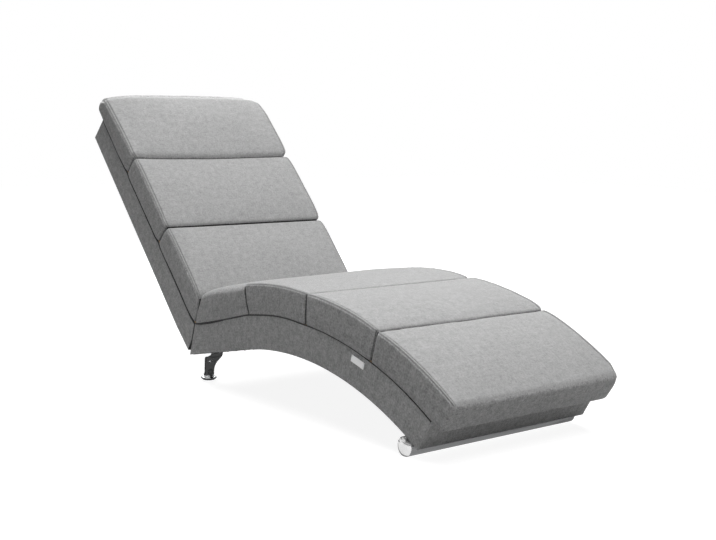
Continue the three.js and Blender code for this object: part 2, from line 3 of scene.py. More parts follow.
import bmesh
import bpy
import numpy as np
from mathutils import Matrix, Vector


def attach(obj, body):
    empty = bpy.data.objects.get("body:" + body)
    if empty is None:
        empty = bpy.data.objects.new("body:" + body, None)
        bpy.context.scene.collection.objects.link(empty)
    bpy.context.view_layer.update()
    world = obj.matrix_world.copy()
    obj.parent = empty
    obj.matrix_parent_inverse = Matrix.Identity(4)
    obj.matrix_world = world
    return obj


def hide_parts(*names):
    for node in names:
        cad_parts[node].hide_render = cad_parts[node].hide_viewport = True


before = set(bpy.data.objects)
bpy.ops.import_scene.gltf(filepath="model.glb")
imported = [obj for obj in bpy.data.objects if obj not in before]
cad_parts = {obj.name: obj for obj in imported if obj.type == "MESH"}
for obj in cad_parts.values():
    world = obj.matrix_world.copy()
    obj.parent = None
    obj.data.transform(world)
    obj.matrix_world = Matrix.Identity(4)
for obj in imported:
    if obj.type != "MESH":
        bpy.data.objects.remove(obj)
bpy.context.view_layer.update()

# ---------------------------------------------------------------- camera

VIEW_ANGLES = (51.518, 7.347, 0.815)
VIEW_FROM = (2.6443, -1.9702, 0.7561)


def place_camera():
    """The photograph's own view: 51.5 degrees round from the rear, a little above the seat."""
    around, down, roll = (math.radians(angle) for angle in VIEW_ANGLES)
    flat = math.cos(down)
    ahead = Vector((-math.sin(around) * flat, math.cos(around) * flat, -math.sin(down)))
    level = Vector((math.cos(around), math.sin(around), 0))
    above = level.cross(ahead)
    right = level * math.cos(roll) + above * math.sin(roll)
    up = above * math.cos(roll) - level * math.sin(roll)
    data = bpy.data.cameras.new("camera")
    data.sensor_width, data.lens = 36, 59.60
    camera = bpy.data.objects.new("camera", data)
    bpy.context.scene.collection.objects.link(camera)
    turn = Matrix((right, up, -ahead)).transposed().to_4x4()
    camera.matrix_world = Matrix.Translation(VIEW_FROM) @ turn
    bpy.context.scene.camera = camera


place_camera()

# ---------------------------------------------------------------- sizes of the frame

HALF_WIDTH = 275.0
BOX_DEPTH = 87.0
STRAIGHT = 251.0  # the seat's deck is straight up to here, then bent round BEND
BEND = 1060.0
SEAT_DECK = 1035.0
BACK_DECK = 793.0
FOLD = math.radians(122.2)
MITRE = FOLD / 2
SLANT = 1 / math.tan(MITRE)
SEAT_RISE = 0.2085947
FOLD_HEIGHT = 171.876
FOLD_PLACE = -226.051
GAP = 0.3
MITRE_GAP = 0.15
LEG_TOP = -87.3
LEG_PLACE = -7.0927
LEG_LEAN = 26.0
LEG_PIN = 17.0
TUBE_PLACE = 991.0
TUBE_DROP = -112.1
TUBE_RADIUS = 23.5
TUBE_END = 271.0
SEAT_SEAMS = (539.03, 799.02)
BACK_SEAMS = (296.03, 568.03)
TOE = SEAT_DECK + 36
CREST = BACK_DECK + 51
DART = 271.0
DART_LEAN = 27.0
LEG_SIDES = {"right": -220.0, "left": 220.0}
TUBE_SIDES = {"right": -233.0, "left": 233.0}
FOLD_BOLTS = {"right": -190.0, "middle": 0.0, "left": 190.0}


def mitre_station(above, gap=MITRE_GAP):
    """How far along a deck its mitred end lies, at a height above it."""
    return above * SLANT + gap / math.sin(MITRE)


def turned(x, z, angle):
    return x * math.cos(angle) - z * math.sin(angle), x * math.sin(angle) + z * math.cos(angle)


def seat_point(along, above):
    """Side-plane place of a point of the arched seat, along its deck and above it."""
    along, above = np.asarray(along, float), np.asarray(above, float)
    bend = np.maximum(0, along - STRAIGHT) / BEND
    x = np.minimum(along, STRAIGHT) + (BEND + above) * np.sin(bend)
    z = (BEND + above) * np.cos(bend) - BEND
    x, z = turned(x, z, SEAT_RISE)
    return x + FOLD_PLACE, z + FOLD_HEIGHT


def back_point(along, above):
    """Side-plane place of a point of the straight back, along its deck and above it."""
    x, z = turned(np.asarray(along, float), -np.asarray(above, float), SEAT_RISE + FOLD)
    return x + FOLD_PLACE, z + FOLD_HEIGHT


def seat_normal(along):
    slope = SEAT_RISE - max(0.0, along - STRAIGHT) / BEND
    return Vector((-math.sin(slope), 0, math.cos(slope)))


# ---------------------------------------------------------------- meshes


def mesh_piece(name, points, faces, body="chaise", edges=()):
    """A smooth piece from points in millimetres, with its place in its mesh."""
    mesh = bpy.data.meshes.new(name)
    mesh.from_pydata((np.asarray(points, float) / 1000).tolist(), edges, faces)
    shade_smooth(mesh)
    piece = bpy.data.objects.new(name, mesh)
    piece["rides_on"] = body
    bpy.context.scene.collection.objects.link(piece)
    return piece


def shade_smooth(mesh):
    mesh.polygons.foreach_set("use_smooth", [True] * len(mesh.polygons))
    mesh.update()


def read(rows, key):
    """The three numbers that each row of a mesh holds, as an array."""
    flat = np.empty(len(rows) * 3)
    rows.foreach_get(key, flat)
    return flat.reshape(-1, 3)


def points_of(mesh):
    return read(mesh.vertices, "co") * 1000


def set_points(mesh, points):
    mesh.vertices.foreach_set("co", (points / 1000).ravel())
    mesh.update()


def bake_modifiers(piece):
    """Turns a piece and its modifiers into one plain mesh."""
    graph = bpy.context.evaluated_depsgraph_get()
    plain = bpy.data.meshes.new_from_object(piece.evaluated_get(graph), depsgraph=graph)
    piece.modifiers.clear()
    piece.data = plain
    return piece


def thicken(piece, thickness):
    wall = piece.modifiers.new("cloth", "SOLIDIFY")
    wall.thickness, wall.offset = thickness, -1
    return bake_modifiers(piece)


def finish_piece(piece, material, slot, *replaces):
    """Gives a piece its material and sets it on its body; its slot is not used."""
    piece.data.materials.clear()
    piece.data.materials.append(material)
    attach(piece, piece["rides_on"])
    if replaces:
        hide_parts(*replaces)
    return piece


def stations(start, end, step, edges_start, edges_end=None):
    """Places along a length: close ones counted from each end and even ones between them."""
    edges_end = edges_start if edges_end is None else edges_end
    first, last = start + edges_start[-1], end - edges_end[-1]
    count = max(1, round((last - first) / step))
    inner = np.linspace(first, last, count + 1)[1:-1]
    near = [start + e for e in edges_start]
    far = [end - e for e in reversed(edges_end)]
    return np.array([*near, *inner, *far])


def grid_quads(grid):
    """The four corners of each cell of a grid of point numbers."""
    return np.stack([grid[:-1, :-1], grid[1:, :-1], grid[1:, 1:], grid[:-1, 1:]], -1).reshape(-1, 4)


def panelled_box(along, across, above, hand):
    """Points and faces of a box whose six panels are grids; a face's panel gives its cloth map."""
    counts = (len(along), len(across), len(above))
    i, j, k = np.meshgrid(*[np.arange(c) for c in counts], indexing="ij")
    skin = np.zeros(counts, bool)
    skin[[0, -1], :, :] = skin[:, [0, -1], :] = skin[:, :, [0, -1]] = True
    number = np.full(counts, -1)
    number[skin] = np.arange(skin.sum())
    points = np.stack([along[i[skin]], across[j[skin]], above[k[skin]]], axis=1)
    faces, maps = [], []
    sides = (
        (number[:, :, -1], 0, 1, 1),
        (number[:, :, 0], 0, 1, -1),
        (number[:, -1, :], 0, 2, -1),
        (number[:, 0, :], 0, 2, 1),
        (number[-1, :, :], 1, 2, 1),
        (number[0, :, :], 1, 2, -1),
    )
    for grid, first, second, facing in sides:
        quads = grid_quads(grid)
        faces.append(quads[:, ::-1] if facing * hand < 0 else quads)
        maps.append(np.tile((first, second), (len(quads), 1)))
    return points, np.concatenate(faces), np.concatenate(maps)


def lay_cloth_map(mesh, places, faces, maps=None):
    """A map in metres of cloth: the places themselves, or one flat patch for each panel."""
    corners = faces.ravel()
    if maps is None:
        flat = places[corners, :2]
    else:
        axes = np.repeat(maps, 4, axis=0)
        flat = np.stack([places[corners, axes[:, 1]], places[corners, axes[:, 0]]], axis=1)
    mesh.uv_layers.new(name="UVMap").data.foreach_set("uv", (flat / 1000).ravel())


def ripples(u, v, seed):
    """Smooth repeatable unevenness between -1 and 1 over a surface, one wave a unit."""
    table = np.random.RandomState(seed).uniform(-1, 1, (64, 64))
    iu, iv = np.floor(u).astype(int), np.floor(v).astype(int)
    fu, fv = u - iu, v - iv
    fu, fv = fu * fu * (3 - 2 * fu), fv * fv * (3 - 2 * fv)
    at = lambda a, b: table[(iu + a) % 64, (iv + b) % 64]
    low = at(0, 0) * (1 - fu) + at(1, 0) * fu
    high = at(0, 1) * (1 - fu) + at(1, 1) * fu
    return low * (1 - fv) + high * fv


def eased(value, low, high):
    share = np.clip((value - low) / (high - low), 0, 1)
    return share * share * (3 - 2 * share)


def band(value, middle, width):
    return np.exp(-(((value - middle) / width) ** 2))


def from_to(pair, share):
    return pair[0] + (pair[1] - pair[0]) * share


def rounding(gaps):
    """Places in a cube's corner, square and round, from shares of the way into its three edges."""
    arc = np.tan(np.stack(gaps) * np.pi / 4)
    length = np.maximum(np.sqrt((arc**2).sum(0)), 1e-9)
    return arc, arc / np.maximum(length, arc.max(0))


def softened_box(s, y, h, ends, half, levels, radius):
    """Rounds the edges of a box in deck places by one small radius."""
    near = np.minimum(s - ends[0], ends[1] - s), half - np.abs(y), np.minimum(h - levels[0], levels[1] - h)
    square, round_ = rounding([np.clip((radius - d) / radius, 0, 1) for d in near])
    ease = (square - round_) * radius
    s = s + np.sign(sum(ends) / 2 - s) * ease[0]
    return s, y - np.sign(y) * ease[1], h + np.sign(sum(levels) / 2 - h) * ease[2]


# ---------------------------------------------------------------- cushions

SEAM_LINES = (0, 1.6, 3.2, 4.8, 6.4, 8, 10, 13, 17, 22, 28)
ROLLED_LINES = (0, 2.5, 5, 7.5, 10, 13, 16, 20, 25, 31)
TOP_LINES = (0, 1.6, 3.2, 5, 7.5, 11, 16, 23)
ROLLED_TOP_LINES = (0, 2.5, 5, 7.5, 10, 13, 18, 24)
END_LINES = (0, 2, 4, 6.4, 9, 12, 16, 21, 27)
FOOT_LINES = (0, 2, 4, 7, 12)
DART_LINES = (-14, -9, -6, -4, -2.4, -1.2, 0, 1.2, 2.4, 4, 6, 9, 14)
SEWN = 7.0
ROLLED = 20.0
WALL_GAP = 0.9
LIP_DROP = 7.4
NO_END = 1e6
FRAMES = 20
STITCH_LINE = 7.1


class Cushion:
    """The form of one cushion over its deck, as a maker would note it."""

    # Pairs run from the start of a cushion to its end, but sag and corner from its right to its
    # left. lip is how far the lower edge hangs over the box, in shares of LIP_DROP.
    # Two of the pairs set the painted shade in the grooves at a cushion's start and end: how dark it is, and
    # how far in millimetres it reaches along the sides.
    usual = {
        "crown": 3.0, "swell": 5.0, "even": 6.0, "lift": (0.0, 0.0), "tilt": 0.0, "sag": (0.0, 0.0),
        "start_round": 11.0, "end_round": 11.0, "corner": (0.0, 0.0), "shoulder": SEWN, "rolled": False,
        "slant": 0.0, "start_bow": 0.0, "end_bow": 0.0, "skew": 0.0, "end_bulge": 0.0, "end_bow_in": 0.5,
        "deck_end": NO_END, "drop": 0.0, "foot": 0.45, "lip": (-0.15, -0.15),
        "gape": (1.5, 1.5), "groove": (1.0, 1.0), "ridge": 1.7,
    }

    def __init__(self, name, deck, start, end, seed, proud, **notes):
        self.name, self.start, self.end = name, start, end
        self.point, self.hand, self.height = deck
        self.seed, self.proud = seed, proud
        vars(self).update(self.usual | notes)

    def share(self, along):
        return np.clip((along - self.start) / (self.end - self.start), 0, 1)

    def side_round(self, along, across):
        """The first seat cushion is rolled over at its sides up to the dart, then sewn."""
        if not self.rolled:
            rounder = np.maximum(0.0, np.where(across < 0, *self.corner) - self.shoulder)
            return self.shoulder + rounder * eased(along, self.end - 45, self.end - 8)
        return ROLLED + (SEWN - ROLLED) * eased(along, DART - 9, DART + 6)

    def rest_form(self, boxed):
        """Rounds the corners of the box and lays it along the deck, before it is stuffed."""
        s, y, h = boxed.T
        share = self.share(s)
        from_ends = 1 - np.abs(2 * share - 1) ** self.even
        lift = from_to(self.lift, share)
        top = self.height - 1 - self.crown * (1 - from_ends) + lift * from_ends * (1 + self.tilt * y)
        sag = np.where(y < 0, self.sag[0] * share, self.sag[1] * eased(share, 0.6, 1))
        top = top - sag * np.abs(y) ** 5
        over = eased(s, self.deck_end, self.deck_end + 8)
        base = -self.drop * over
        foot = h * self.height
        h = base + h * (top - base)
        half = HALF_WIDTH - 0.5
        rising = np.sin(np.clip((h - base) / (0.5 * top), 0, 1) * np.pi / 2)
        proud = from_to(self.proud, share) * (1 - np.abs(2 * share - 1) ** 16)
        proud = proud * (self.foot + (1 - self.foot) * rising)
        y = y * half
        early = s < (self.start + self.end) / 2
        end_round = np.where(early, self.start_round, self.end_round)
        near = np.minimum(s - self.start, self.end - s)
        side = self.side_round(s, y)
        tall = side + (end_round - side) * eased(end_round - near, 0, end_round)
        wide = 7 + (end_round - 7) * eased(h, top - 2.2 * end_round, top - end_round)
        ds = np.clip((wide - near) / wide, 0, 1)
        dy = np.clip((np.abs(y) - half + side) / side, 0, 1)
        up = np.clip((h - top + tall) / tall, 0, 1)
        low = np.clip((base + 4 - h) / 4, 0, 1)
        ds, dy, dh = rounding([ds, dy, np.where(h > (base + top) / 2, up, low)])[1]
        lean = DART_LEAN * (0.5 - foot / self.height) * band(s, DART, 45) if self.rolled else 0
        outer = np.sin(np.pi * np.clip((h - base) / top, 0, 1)) ** 0.5
        outer = outer * (1 - self.end_bow_in * (y / half) ** 2)
        bulge = self.end_bulge * outer * eased(share, 0.9, 1) + self.skew * y / half * eased(share, 0.6, 1)
        s_round = np.where(early, self.start + wide * (1 - ds), self.end - wide * (1 - ds))
        s = np.where(ds > 0, s_round, s)
        y = np.where(dy > 0, np.sign(y) * (half - side + side * dy), y)
        wall = eased(np.abs(y), half - 2.2 * side, half - 0.2 * side)
        y = y + np.sign(y) * proud * wall
        h = np.where(up > 0, top - tall + tall * dh, h)
        h = np.where(low > 0, base + 4 - 4 * dh, h)
        y, h = self.hang_over(s, y, h, foot, boxed[:, 1], over)
        return self.laid(s + lean + bulge, y, h)

    def hang_over(self, s, y, h, foot, across, over):
        """The soft lower edge of a side hangs a few millimetres over the edge of the box."""
        size = self.lip_size(s) * (1 - over)
        places = [0, 2, 4, 7, 12, 20, 30]
        out = np.interp(foot, places, [2.0, 2.6, 3.6, 4.0, 3.0, 1.2, 0])
        down = np.interp(foot, places, [0.3, 4.9, 7.2, LIP_DROP, 5.4, 2.4, 0])
        edge = np.abs(across) > 0.9999
        y = y + np.where(edge, np.sign(y) * out * np.clip(size, 0, 1), 0)
        raised = np.interp(foot, [0, 7, 14, 26], [LIP_DROP, LIP_DROP, 4, 0]) * np.minimum(size, 0)
        return y, h - np.where(edge, down * np.maximum(size, 0) + raised, 0)

    def lip_size(self, along):
        share = self.share(along)
        size = np.interp(share, np.linspace(0, 1, len(self.lip)), self.lip)
        size = size * (1 - np.abs(2 * share - 1) ** 9)
        return size * (1 + 0.25 * ripples(along / 60, along * 0 + self.seed, 21))

    def laid(self, s, y, h):
        share = self.share(s)
        curve = 1 - (y / HALF_WIDTH) ** 2
        bow = self.start_bow * (1 - share) ** 3 + self.end_bow * share**3
        x, z = self.point(s + self.slant * (1 - share) * h + bow * curve, h)
        return np.stack([x, y, z], axis=1)

    def blank(self):
        """The cut and sewn cover before it is stuffed, with its map of the cloth."""
        sides, tops = (ROLLED_LINES, ROLLED_TOP_LINES) if self.rolled else (SEAM_LINES, TOP_LINES)
        along = stations(self.start, self.end, 8.5, END_LINES)
        if self.rolled:
            along = along[np.abs(along - DART) > 17]
            along = np.sort(np.concatenate([along, DART + np.array(DART_LINES)]))
        across = stations(-HALF_WIDTH, HALF_WIDTH, 8.5, sides) / HALF_WIDTH
        above = stations(0, self.height, 7.5, FOOT_LINES, tops) / self.height
        boxed, faces, maps = panelled_box(along, across, above, self.hand)
        piece = mesh_piece(self.name, self.rest_form(boxed), faces.tolist())
        lay_cloth_map(piece.data, boxed * (1, HALF_WIDTH, self.height), faces, maps)
        marks = piece.data.attributes.new("cut", "FLOAT_VECTOR", "POINT")
        marks.data.foreach_set("vector", boxed.ravel())
        return piece, boxed

    def stuff(self, piece, boxed):
        """Sets up the cloth and its stuffing; the seams, foot and end walls are held."""
        s, y, h = boxed.T
        side_gap = HALF_WIDTH * (1 - np.abs(y))
        near = np.minimum(s - self.start, self.end - s)
        top_gap = self.height * (1 - h)
        grip = np.clip(1 - side_gap / 8, 0, 1) * np.clip(1 - top_gap / 8, 0, 1)
        if self.rolled:
            grip *= eased(s, DART - 9, DART + 6)
            grip = np.maximum(grip, band(s, DART, 5) * (side_gap < 1))
        held = np.maximum(grip, (h * self.height < 7.5) * 1.0)
        held = np.maximum(held, (near < 1) & (top_gap > 14))
        held = np.maximum(held, 0.6 * (near < 5) * (top_gap < 14))
        group = piece.vertex_groups.new(name="held")
        for number, weight in enumerate(held):
            if weight > 0.01:
                group.add([number], float(weight), "REPLACE")
        cloth = piece.modifiers.new("stuffing", "CLOTH")
        settings = cloth.settings
        settings.quality, settings.mass = 6, 0.25
        settings.tension_stiffness = settings.compression_stiffness = 18
        settings.shear_stiffness, settings.bending_stiffness = 6, 0.6
        settings.use_pressure, settings.uniform_pressure_force = True, 4.0
        settings.shrink_min = -0.006
        settings.effector_weights.gravity = 0
        settings.vertex_group_mass = "held"
        cloth.collision_settings.use_collision = False
        cloth.point_cache.frame_start, cloth.point_cache.frame_end = 1, FRAMES

    def settle(self, piece, start):
        """Keeps the swelling that the stuffing gave, at the height that the crown has."""
        graph = bpy.context.evaluated_depsgraph_get()
        moved = points_of(piece.evaluated_get(graph).data) - start
        piece.modifiers.clear()
        moved = evened(piece.data, moved, 24)
        moved *= self.swell / max(float(np.percentile(np.linalg.norm(moved, axis=1), 98)), 0.01)
        size = np.linalg.norm(moved, axis=1)
        moved *= np.minimum(1, 1.15 * self.swell / np.maximum(size, 1e-6))[:, None]
        set_points(piece.data, start + moved)

    def sew(self, piece):
        """Seam grooves, top-stitch lines, puckers, pleats and the dart, on the stuffed cover, with painted
        shade in its seams, grooves and dart.
        """
        rounder = piece.modifiers.new("rounder", "SUBSURF")
        rounder.levels = rounder.render_levels = 1
        rounder.boundary_smooth = "PRESERVE_CORNERS"
        mesh = bake_modifiers(piece).data
        s, y, h = read(mesh.attributes["cut"].data, "vector").T
        mesh.attributes.remove(mesh.attributes["cut"])
        side_gap = HALF_WIDTH * (1 - np.abs(y))
        top_gap = self.height * (1 - h)
        near_start, near_end = s - self.start, self.end - s
        on_top, on_side = top_gap < 0.5, side_gap < 0.5
        from_seam = np.where(on_top, side_gap, -top_gap) * 0.79
        sewn = (on_top | on_side) * 1.0
        if self.rolled:
            sewn *= eased(s, DART - 1, DART + 7)
        puckers = ripples(s / 8 + 40, y * 3, self.seed) + 0.5 * ripples(s / 17, y * 3, self.seed + 1)
        lines = -0.9 * band(from_seam, 0, 0.9) - 1.3 * band(from_seam, 5.6, 1.1) * on_top
        depth = lines + self.ridge * band(from_seam, 2.9, 1.5) * on_top
        depth += 0.6 * puckers * band(from_seam, 8, 5) * on_top
        depth += 0.45 * puckers * band(from_seam, -5, 4.5) * on_side
        depth *= sewn
        # Painted shade: this share darkens the seam and top-stitch lines in the cloth's colour.
        crease_shade = -lines * sewn * 0.38
        near = np.minimum(near_start, near_end if self.deck_end == NO_END else 1e3)
        inside = np.minimum(side_gap, top_gap)
        groove = np.where(near_start < near_end, *self.groove)
        gape = np.where(near_start < near_end, *self.gape)
        # Painted shade in the grooves between cushions, on their end walls and along the foot of each side
        # where it meets the box.
        crease_shade += (near < 0.3) * eased(inside, 0.5, 4.5) * groove
        crease_shade += on_side * (1 - eased(near, 0.2, gape)) * (0.5 + 0.1 * gape)
        crease_shade += on_top * (1 - eased(near, 0.2, 1.4)) * 0.4 * groove
        crease_shade += on_side * (1 - eased(h * self.height, 0.8, 2.4))
        across = y * HALF_WIDTH
        pleats = ripples(across / 24, s / 400, self.seed + 3)
        slack = ripples(across / 75, s / 95, self.seed + 5)
        ends = np.exp(-near_start / 24) + np.exp(-near_end / 24)
        depth += on_top * eased(side_gap, 6, 40) * (0.55 * pleats * ends + 0.5 * slack)
        walls = ripples(s / 30, h * 1.4, self.seed + 7) * on_side * eased(top_gap, 5, 22)
        depth += 0.6 * walls * eased(h, 0.0, 0.3)
        if self.rolled:
            off = s - DART
            deep = on_side * eased(h, 0.0, 0.06)
            depth += deep * (-5.0 * band(off, 0, 2.2) - 1.6 * band(off, 0, 9))
            depth += deep * 0.6 * ripples(h * 9, off / 60, 31) * band(off, 0, 22)
            top_end = (side_gap < 22) * on_top * eased(side_gap, 22, 0)
            depth -= top_end * (3.0 * band(off, 0, 2.4) + 1.2 * band(off, 3, 8))
            # Painted shade down the dart.
            crease_shade += deep * 1.5 * band(off, 0, 2.2 + 1.0 * h) + top_end * band(off, 0, 2.4)
        set_points(mesh, points_of(mesh) + read(mesh.vertex_normals, "vector") * depth[:, None])
        note(mesh, "crease_shade", crease_shade)
        note(mesh, "side_cloth", 1 - (on_top | (self.height * h < 0.5)) * 1.0)

    def stitch_rows(self, piece):
        """Lines on the stuffed cover that its stitches follow: one along each long side."""
        points = points_of(piece.data)
        s, y, h = read(piece.data.attributes["cut"].data, "vector").T
        places = np.unique(np.abs(np.round(y, 6)))
        line = places[np.argmin(np.abs(places - (1 - STITCH_LINE / HALF_WIDTH)))]
        rows = []
        for side in (-1, 1):
            chosen = (np.abs(y - side * line) < 1e-5) & (h > 0.999)
            if self.rolled:
                chosen &= s > DART + 6
            rows.append(points[chosen][np.argsort(s[chosen])])
        return rows


def evened(mesh, values, rounds):
    """Averages values with those of their neighbours, so no wrinkle of the grid is left."""
    ends = np.empty(len(mesh.edges) * 2, int)
    mesh.edges.foreach_get("vertices", ends)
    a, b = ends.reshape(-1, 2).T
    count = np.bincount(ends, minlength=len(values))[:, None]
    for _ in range(rounds):
        total = np.zeros_like(values)
        np.add.at(total, a, values[b])
        np.add.at(total, b, values[a])
        values = 0.4 * values + 0.6 * total / count
    return values


def note(mesh, name, values):
    """A share for each point that the cloth's material reads, such as how much painted shade darkens a crease.
    """
    marks = mesh.attributes.new(name, "FLOAT", "POINT")
    marks.data.foreach_set("value", np.clip(values, 0, 1))


def all_cushions():
    seat, back = (seat_point, 1, 83), (back_point, -1, 76)
    first, second = SEAT_SEAMS
    low, high = BACK_SEAMS
    begin = mitre_station(0) + WALL_GAP
    fold = {"start_round": 22.0, "slant": SLANT}
    soft = {"crown": 5.0, "swell": 7.0, "even": 5.0, "shoulder": 10.0, "ridge": 0.5}
    soft.update(lip=(0.45, 0.45), foot=0.1)
    gap = WALL_GAP
    return [
        Cushion(
            "first_seat_cushion", seat, begin, first - gap, 11, (4, 6), rolled=True,
            end_round=7.0, lift=(13, 1), tilt=0.4, gape=(1.5, 4.5),
            lip=(0.95, 0.9, 0.32, -0.2, -0.6, -0.42, -0.48, -0.38, 0.0), **fold,
        ),
        Cushion(
            "second_seat_cushion", seat, first + gap, second - gap, 12, (7, 8),
            start_round=7.0, end_round=7.0, lift=(0, 2), gape=(3.0, 2.0),
        ),
        Cushion(
            "toe_cushion", seat, second + gap, TOE, 13, (7, 2), start_round=7.0, end_round=15.0,
            deck_end=SEAT_DECK, lift=(1, -3), end_bulge=3.0, corner=(10.0, 26.0), swell=4.0,
            lip=(-0.15, -0.15, -0.1, 0.15, 0.35),
        ),
        Cushion("low_back_cushion", back, begin, low - gap, 14, (3, 7), lift=(0, 3), **soft, **fold),
        Cushion(
            "middle_back_cushion", back, low + gap, high - gap, 15, (8, 9),
            start_round=10.0, end_bow=-6.0, lift=(3, 3), groove=(1.0, 0.4), **soft,
        ),
        Cushion(
            "head_cushion", back, high + gap, CREST, 16, (12, 12), start_bow=-6.0,
            start_round=18.0, end_round=34.0, corner=(14.0, 30.0), skew=2.5, groove=(0.4, 1.0),
            deck_end=BACK_DECK + GAP, drop=4.0, lift=(4, 1), sag=(19.0, 12.0),
            end_bulge=15.0, end_bow_in=0.25, **soft,
        ),
    ]


CUSHIONS = all_cushions()
SEAT_CUSHIONS, BACK_CUSHIONS = CUSHIONS[:3], CUSHIONS[3:]


def make_cushions():
    """Each cushion's finished piece and the lines that its stitches follow."""
    blanks = [cushion.blank() for cushion in CUSHIONS]
    starts = [points_of(piece.data) for piece, _ in blanks]
    for cushion, (piece, boxed) in zip(CUSHIONS, blanks):
        cushion.stuff(piece, boxed)
    scene = bpy.context.scene
    scene.frame_start, scene.frame_end = 1, FRAMES
    for number in range(1, FRAMES + 1):
        scene.frame_set(number)
    for cushion, (piece, _), start in zip(CUSHIONS, blanks, starts):
        cushion.settle(piece, start)
    scene.frame_set(1)
    for cushion, (piece, _) in zip(CUSHIONS, blanks):
        rows = cushion.stitch_rows(piece)
        cushion.sew(piece)
        yield cushion, piece, rows


# ---------------------------------------------------------------- materials


def put(tree, kind, inputs=(), **options):
    """Adds a node, sets its options, and feeds its inputs with values or other sockets."""
    made = tree.nodes.new(kind)
    for name, value in options.items():
        setattr(made, name, value)
    for key, value in dict(inputs).items():
        if isinstance(value, bpy.types.NodeSocket):
            tree.links.new(value, made.inputs[key])
        else:
            made.inputs[key].default_value = value
    return made


def maths(tree, operation, a, b=0.0):
    return put(tree, "ShaderNodeMath", {0: a, 1: b}, operation=operation).outputs[0]


def weighted(tree, first, second):
    """The sum of two values, each times its weight."""
    parts = [v if w == 1 else maths(tree, "MULTIPLY", v, w) for v, w in (first, second)]
    return maths(tree, "ADD", *parts)


def scaled(tree, place, by):
    return put(tree, "ShaderNodeVectorMath", {0: place, 1: by}, operation="MULTIPLY").outputs[0]


def parts_of(tree, place):
    return put(tree, "ShaderNodeSeparateXYZ", {0: place}).outputs


def spread(tree, value):
    return put(tree, "ShaderNodeCombineXYZ", dict.fromkeys(range(3), value)).outputs[0]


def speckle(tree, place, scale, detail=2.0, rough=0.5):
    inputs = {"Vector": place, "Scale": scale, "Detail": detail, "Roughness": rough}
    return put(tree, "ShaderNodeTexNoise", inputs).outputs[0]


def between(tree, value, low, high, to_low=0.0, to_high=1.0):
    inputs = {0: value, 1: low, 2: high, 3: to_low, 4: to_high}
    return put(tree, "ShaderNodeMapRange", inputs).outputs[0]


def blended(tree, share, first, second, mode="MIX"):
    inputs = {0: share, 6: first, 7: second}
    return put(tree, "ShaderNodeMix", inputs, data_type="RGBA", blend_type=mode).outputs[2]


def dimmed(tree, colour, by):
    """A colour made darker or lighter by a number that changes over the surface."""
    return blended(tree, 1.0, colour, spread(tree, by), "MULTIPLY")


def grey(level, warm=0.0):
    return (level * (1 + warm), level, level * (1 - warm), 1)


def effect(name, inputs, outputs):
    """An empty shader group with named inputs and outputs."""
    tree = bpy.data.node_groups.new(name, "ShaderNodeTree")
    face = tree.interface
    for label, kind, value in inputs:
        socket = face.new_socket(label, in_out="INPUT", socket_type="NodeSocket" + kind)
        if value is not None:
            socket.default_value = value
    for label, kind in outputs:
        face.new_socket(label, in_out="OUTPUT", socket_type="NodeSocket" + kind)
    ends = tree.nodes.new("NodeGroupInput"), tree.nodes.new("NodeGroupOutput")
    return tree, ends[0].outputs, ends[1].inputs


# How far the noise is drawn out across and along each set of yarns: its fine and its broad streaks.
STREAKS = (
    ((0.80, 0.034, 0), (0.30, 0.022, 0)),
    ((0.030, 0.76, 0), (0.020, 0.28, 0)),
)


def linen_effect():
    """Plain weave of slubby two-tone yarn: a colour and a height for each place on the cloth."""
    sizes = [("Yarn", "Float", 1.2), ("Slub", "Float", 0.8), ("Heather", "Float", 1.2)]
    colours = [("Light", "Color", grey(0.5)), ("Dark", "Color", grey(0.3))]
    tree, given, result = effect(
        "linen weave", [("Place", "Vector", None), *sizes, *colours], [("Color", "Color"), ("Height", "Float")]
    )
    place = scaled(tree, given["Place"], (1000, 1000, 0))
    pitch = maths(tree, "DIVIDE", math.pi, given["Yarn"])
    threads = put(tree, "ShaderNodeVectorMath", {0: place, "Scale": pitch}, operation="SCALE")
    parts = parts_of(tree, threads.outputs[0])
    rise = [maths(tree, "SINE", parts[axis]) for axis in (0, 1)]
    over = between(tree, maths(tree, "MULTIPLY", *rise), -0.35, 0.35)
    under = maths(tree, "SUBTRACT", 1.0, over)
    streaks = []
    for pair in STREAKS:
        fine, broad = (speckle(tree, scaled(tree, place, drawn), 1.0) for drawn in pair)
        streaks.append(weighted(tree, (fine, 0.45), (broad, 0.55)))
    yarns = weighted(tree, *zip(streaks, (over, under)))
    coarse, mid = speckle(tree, place, 0.20, 2.0, 0.6), speckle(tree, place, 0.06)
    fibre = weighted(tree, (coarse, 0.8), (mid, 0.45))
    slubs = maths(tree, "SUBTRACT", yarns, 0.5), given["Slub"]
    fibres = maths(tree, "SUBTRACT", fibre, 0.625), given["Heather"]
    tone = maths(tree, "ADD", weighted(tree, slubs, fibres), 0.5)
    raised = [maths(tree, "ABSOLUTE", wave) for wave in rise]
    height = weighted(tree, *zip(raised, (over, under)))
    clamped = put(tree, "ShaderNodeClamp", {0: tone}).outputs[0]
    colour = blended(tree, clamped, given["Dark"], given["Light"])
    # Painted shade: the hollows between the yarns are darkened in the colour.
    gaps = between(tree, height, 0.1, 0.75, 0.8, 1.0)
    tree.links.new(dimmed(tree, colour, gaps), result["Color"])
    tree.links.new(weighted(tree, (height, 0.6), (yarns, 0.8)), result["Height"])
    return tree


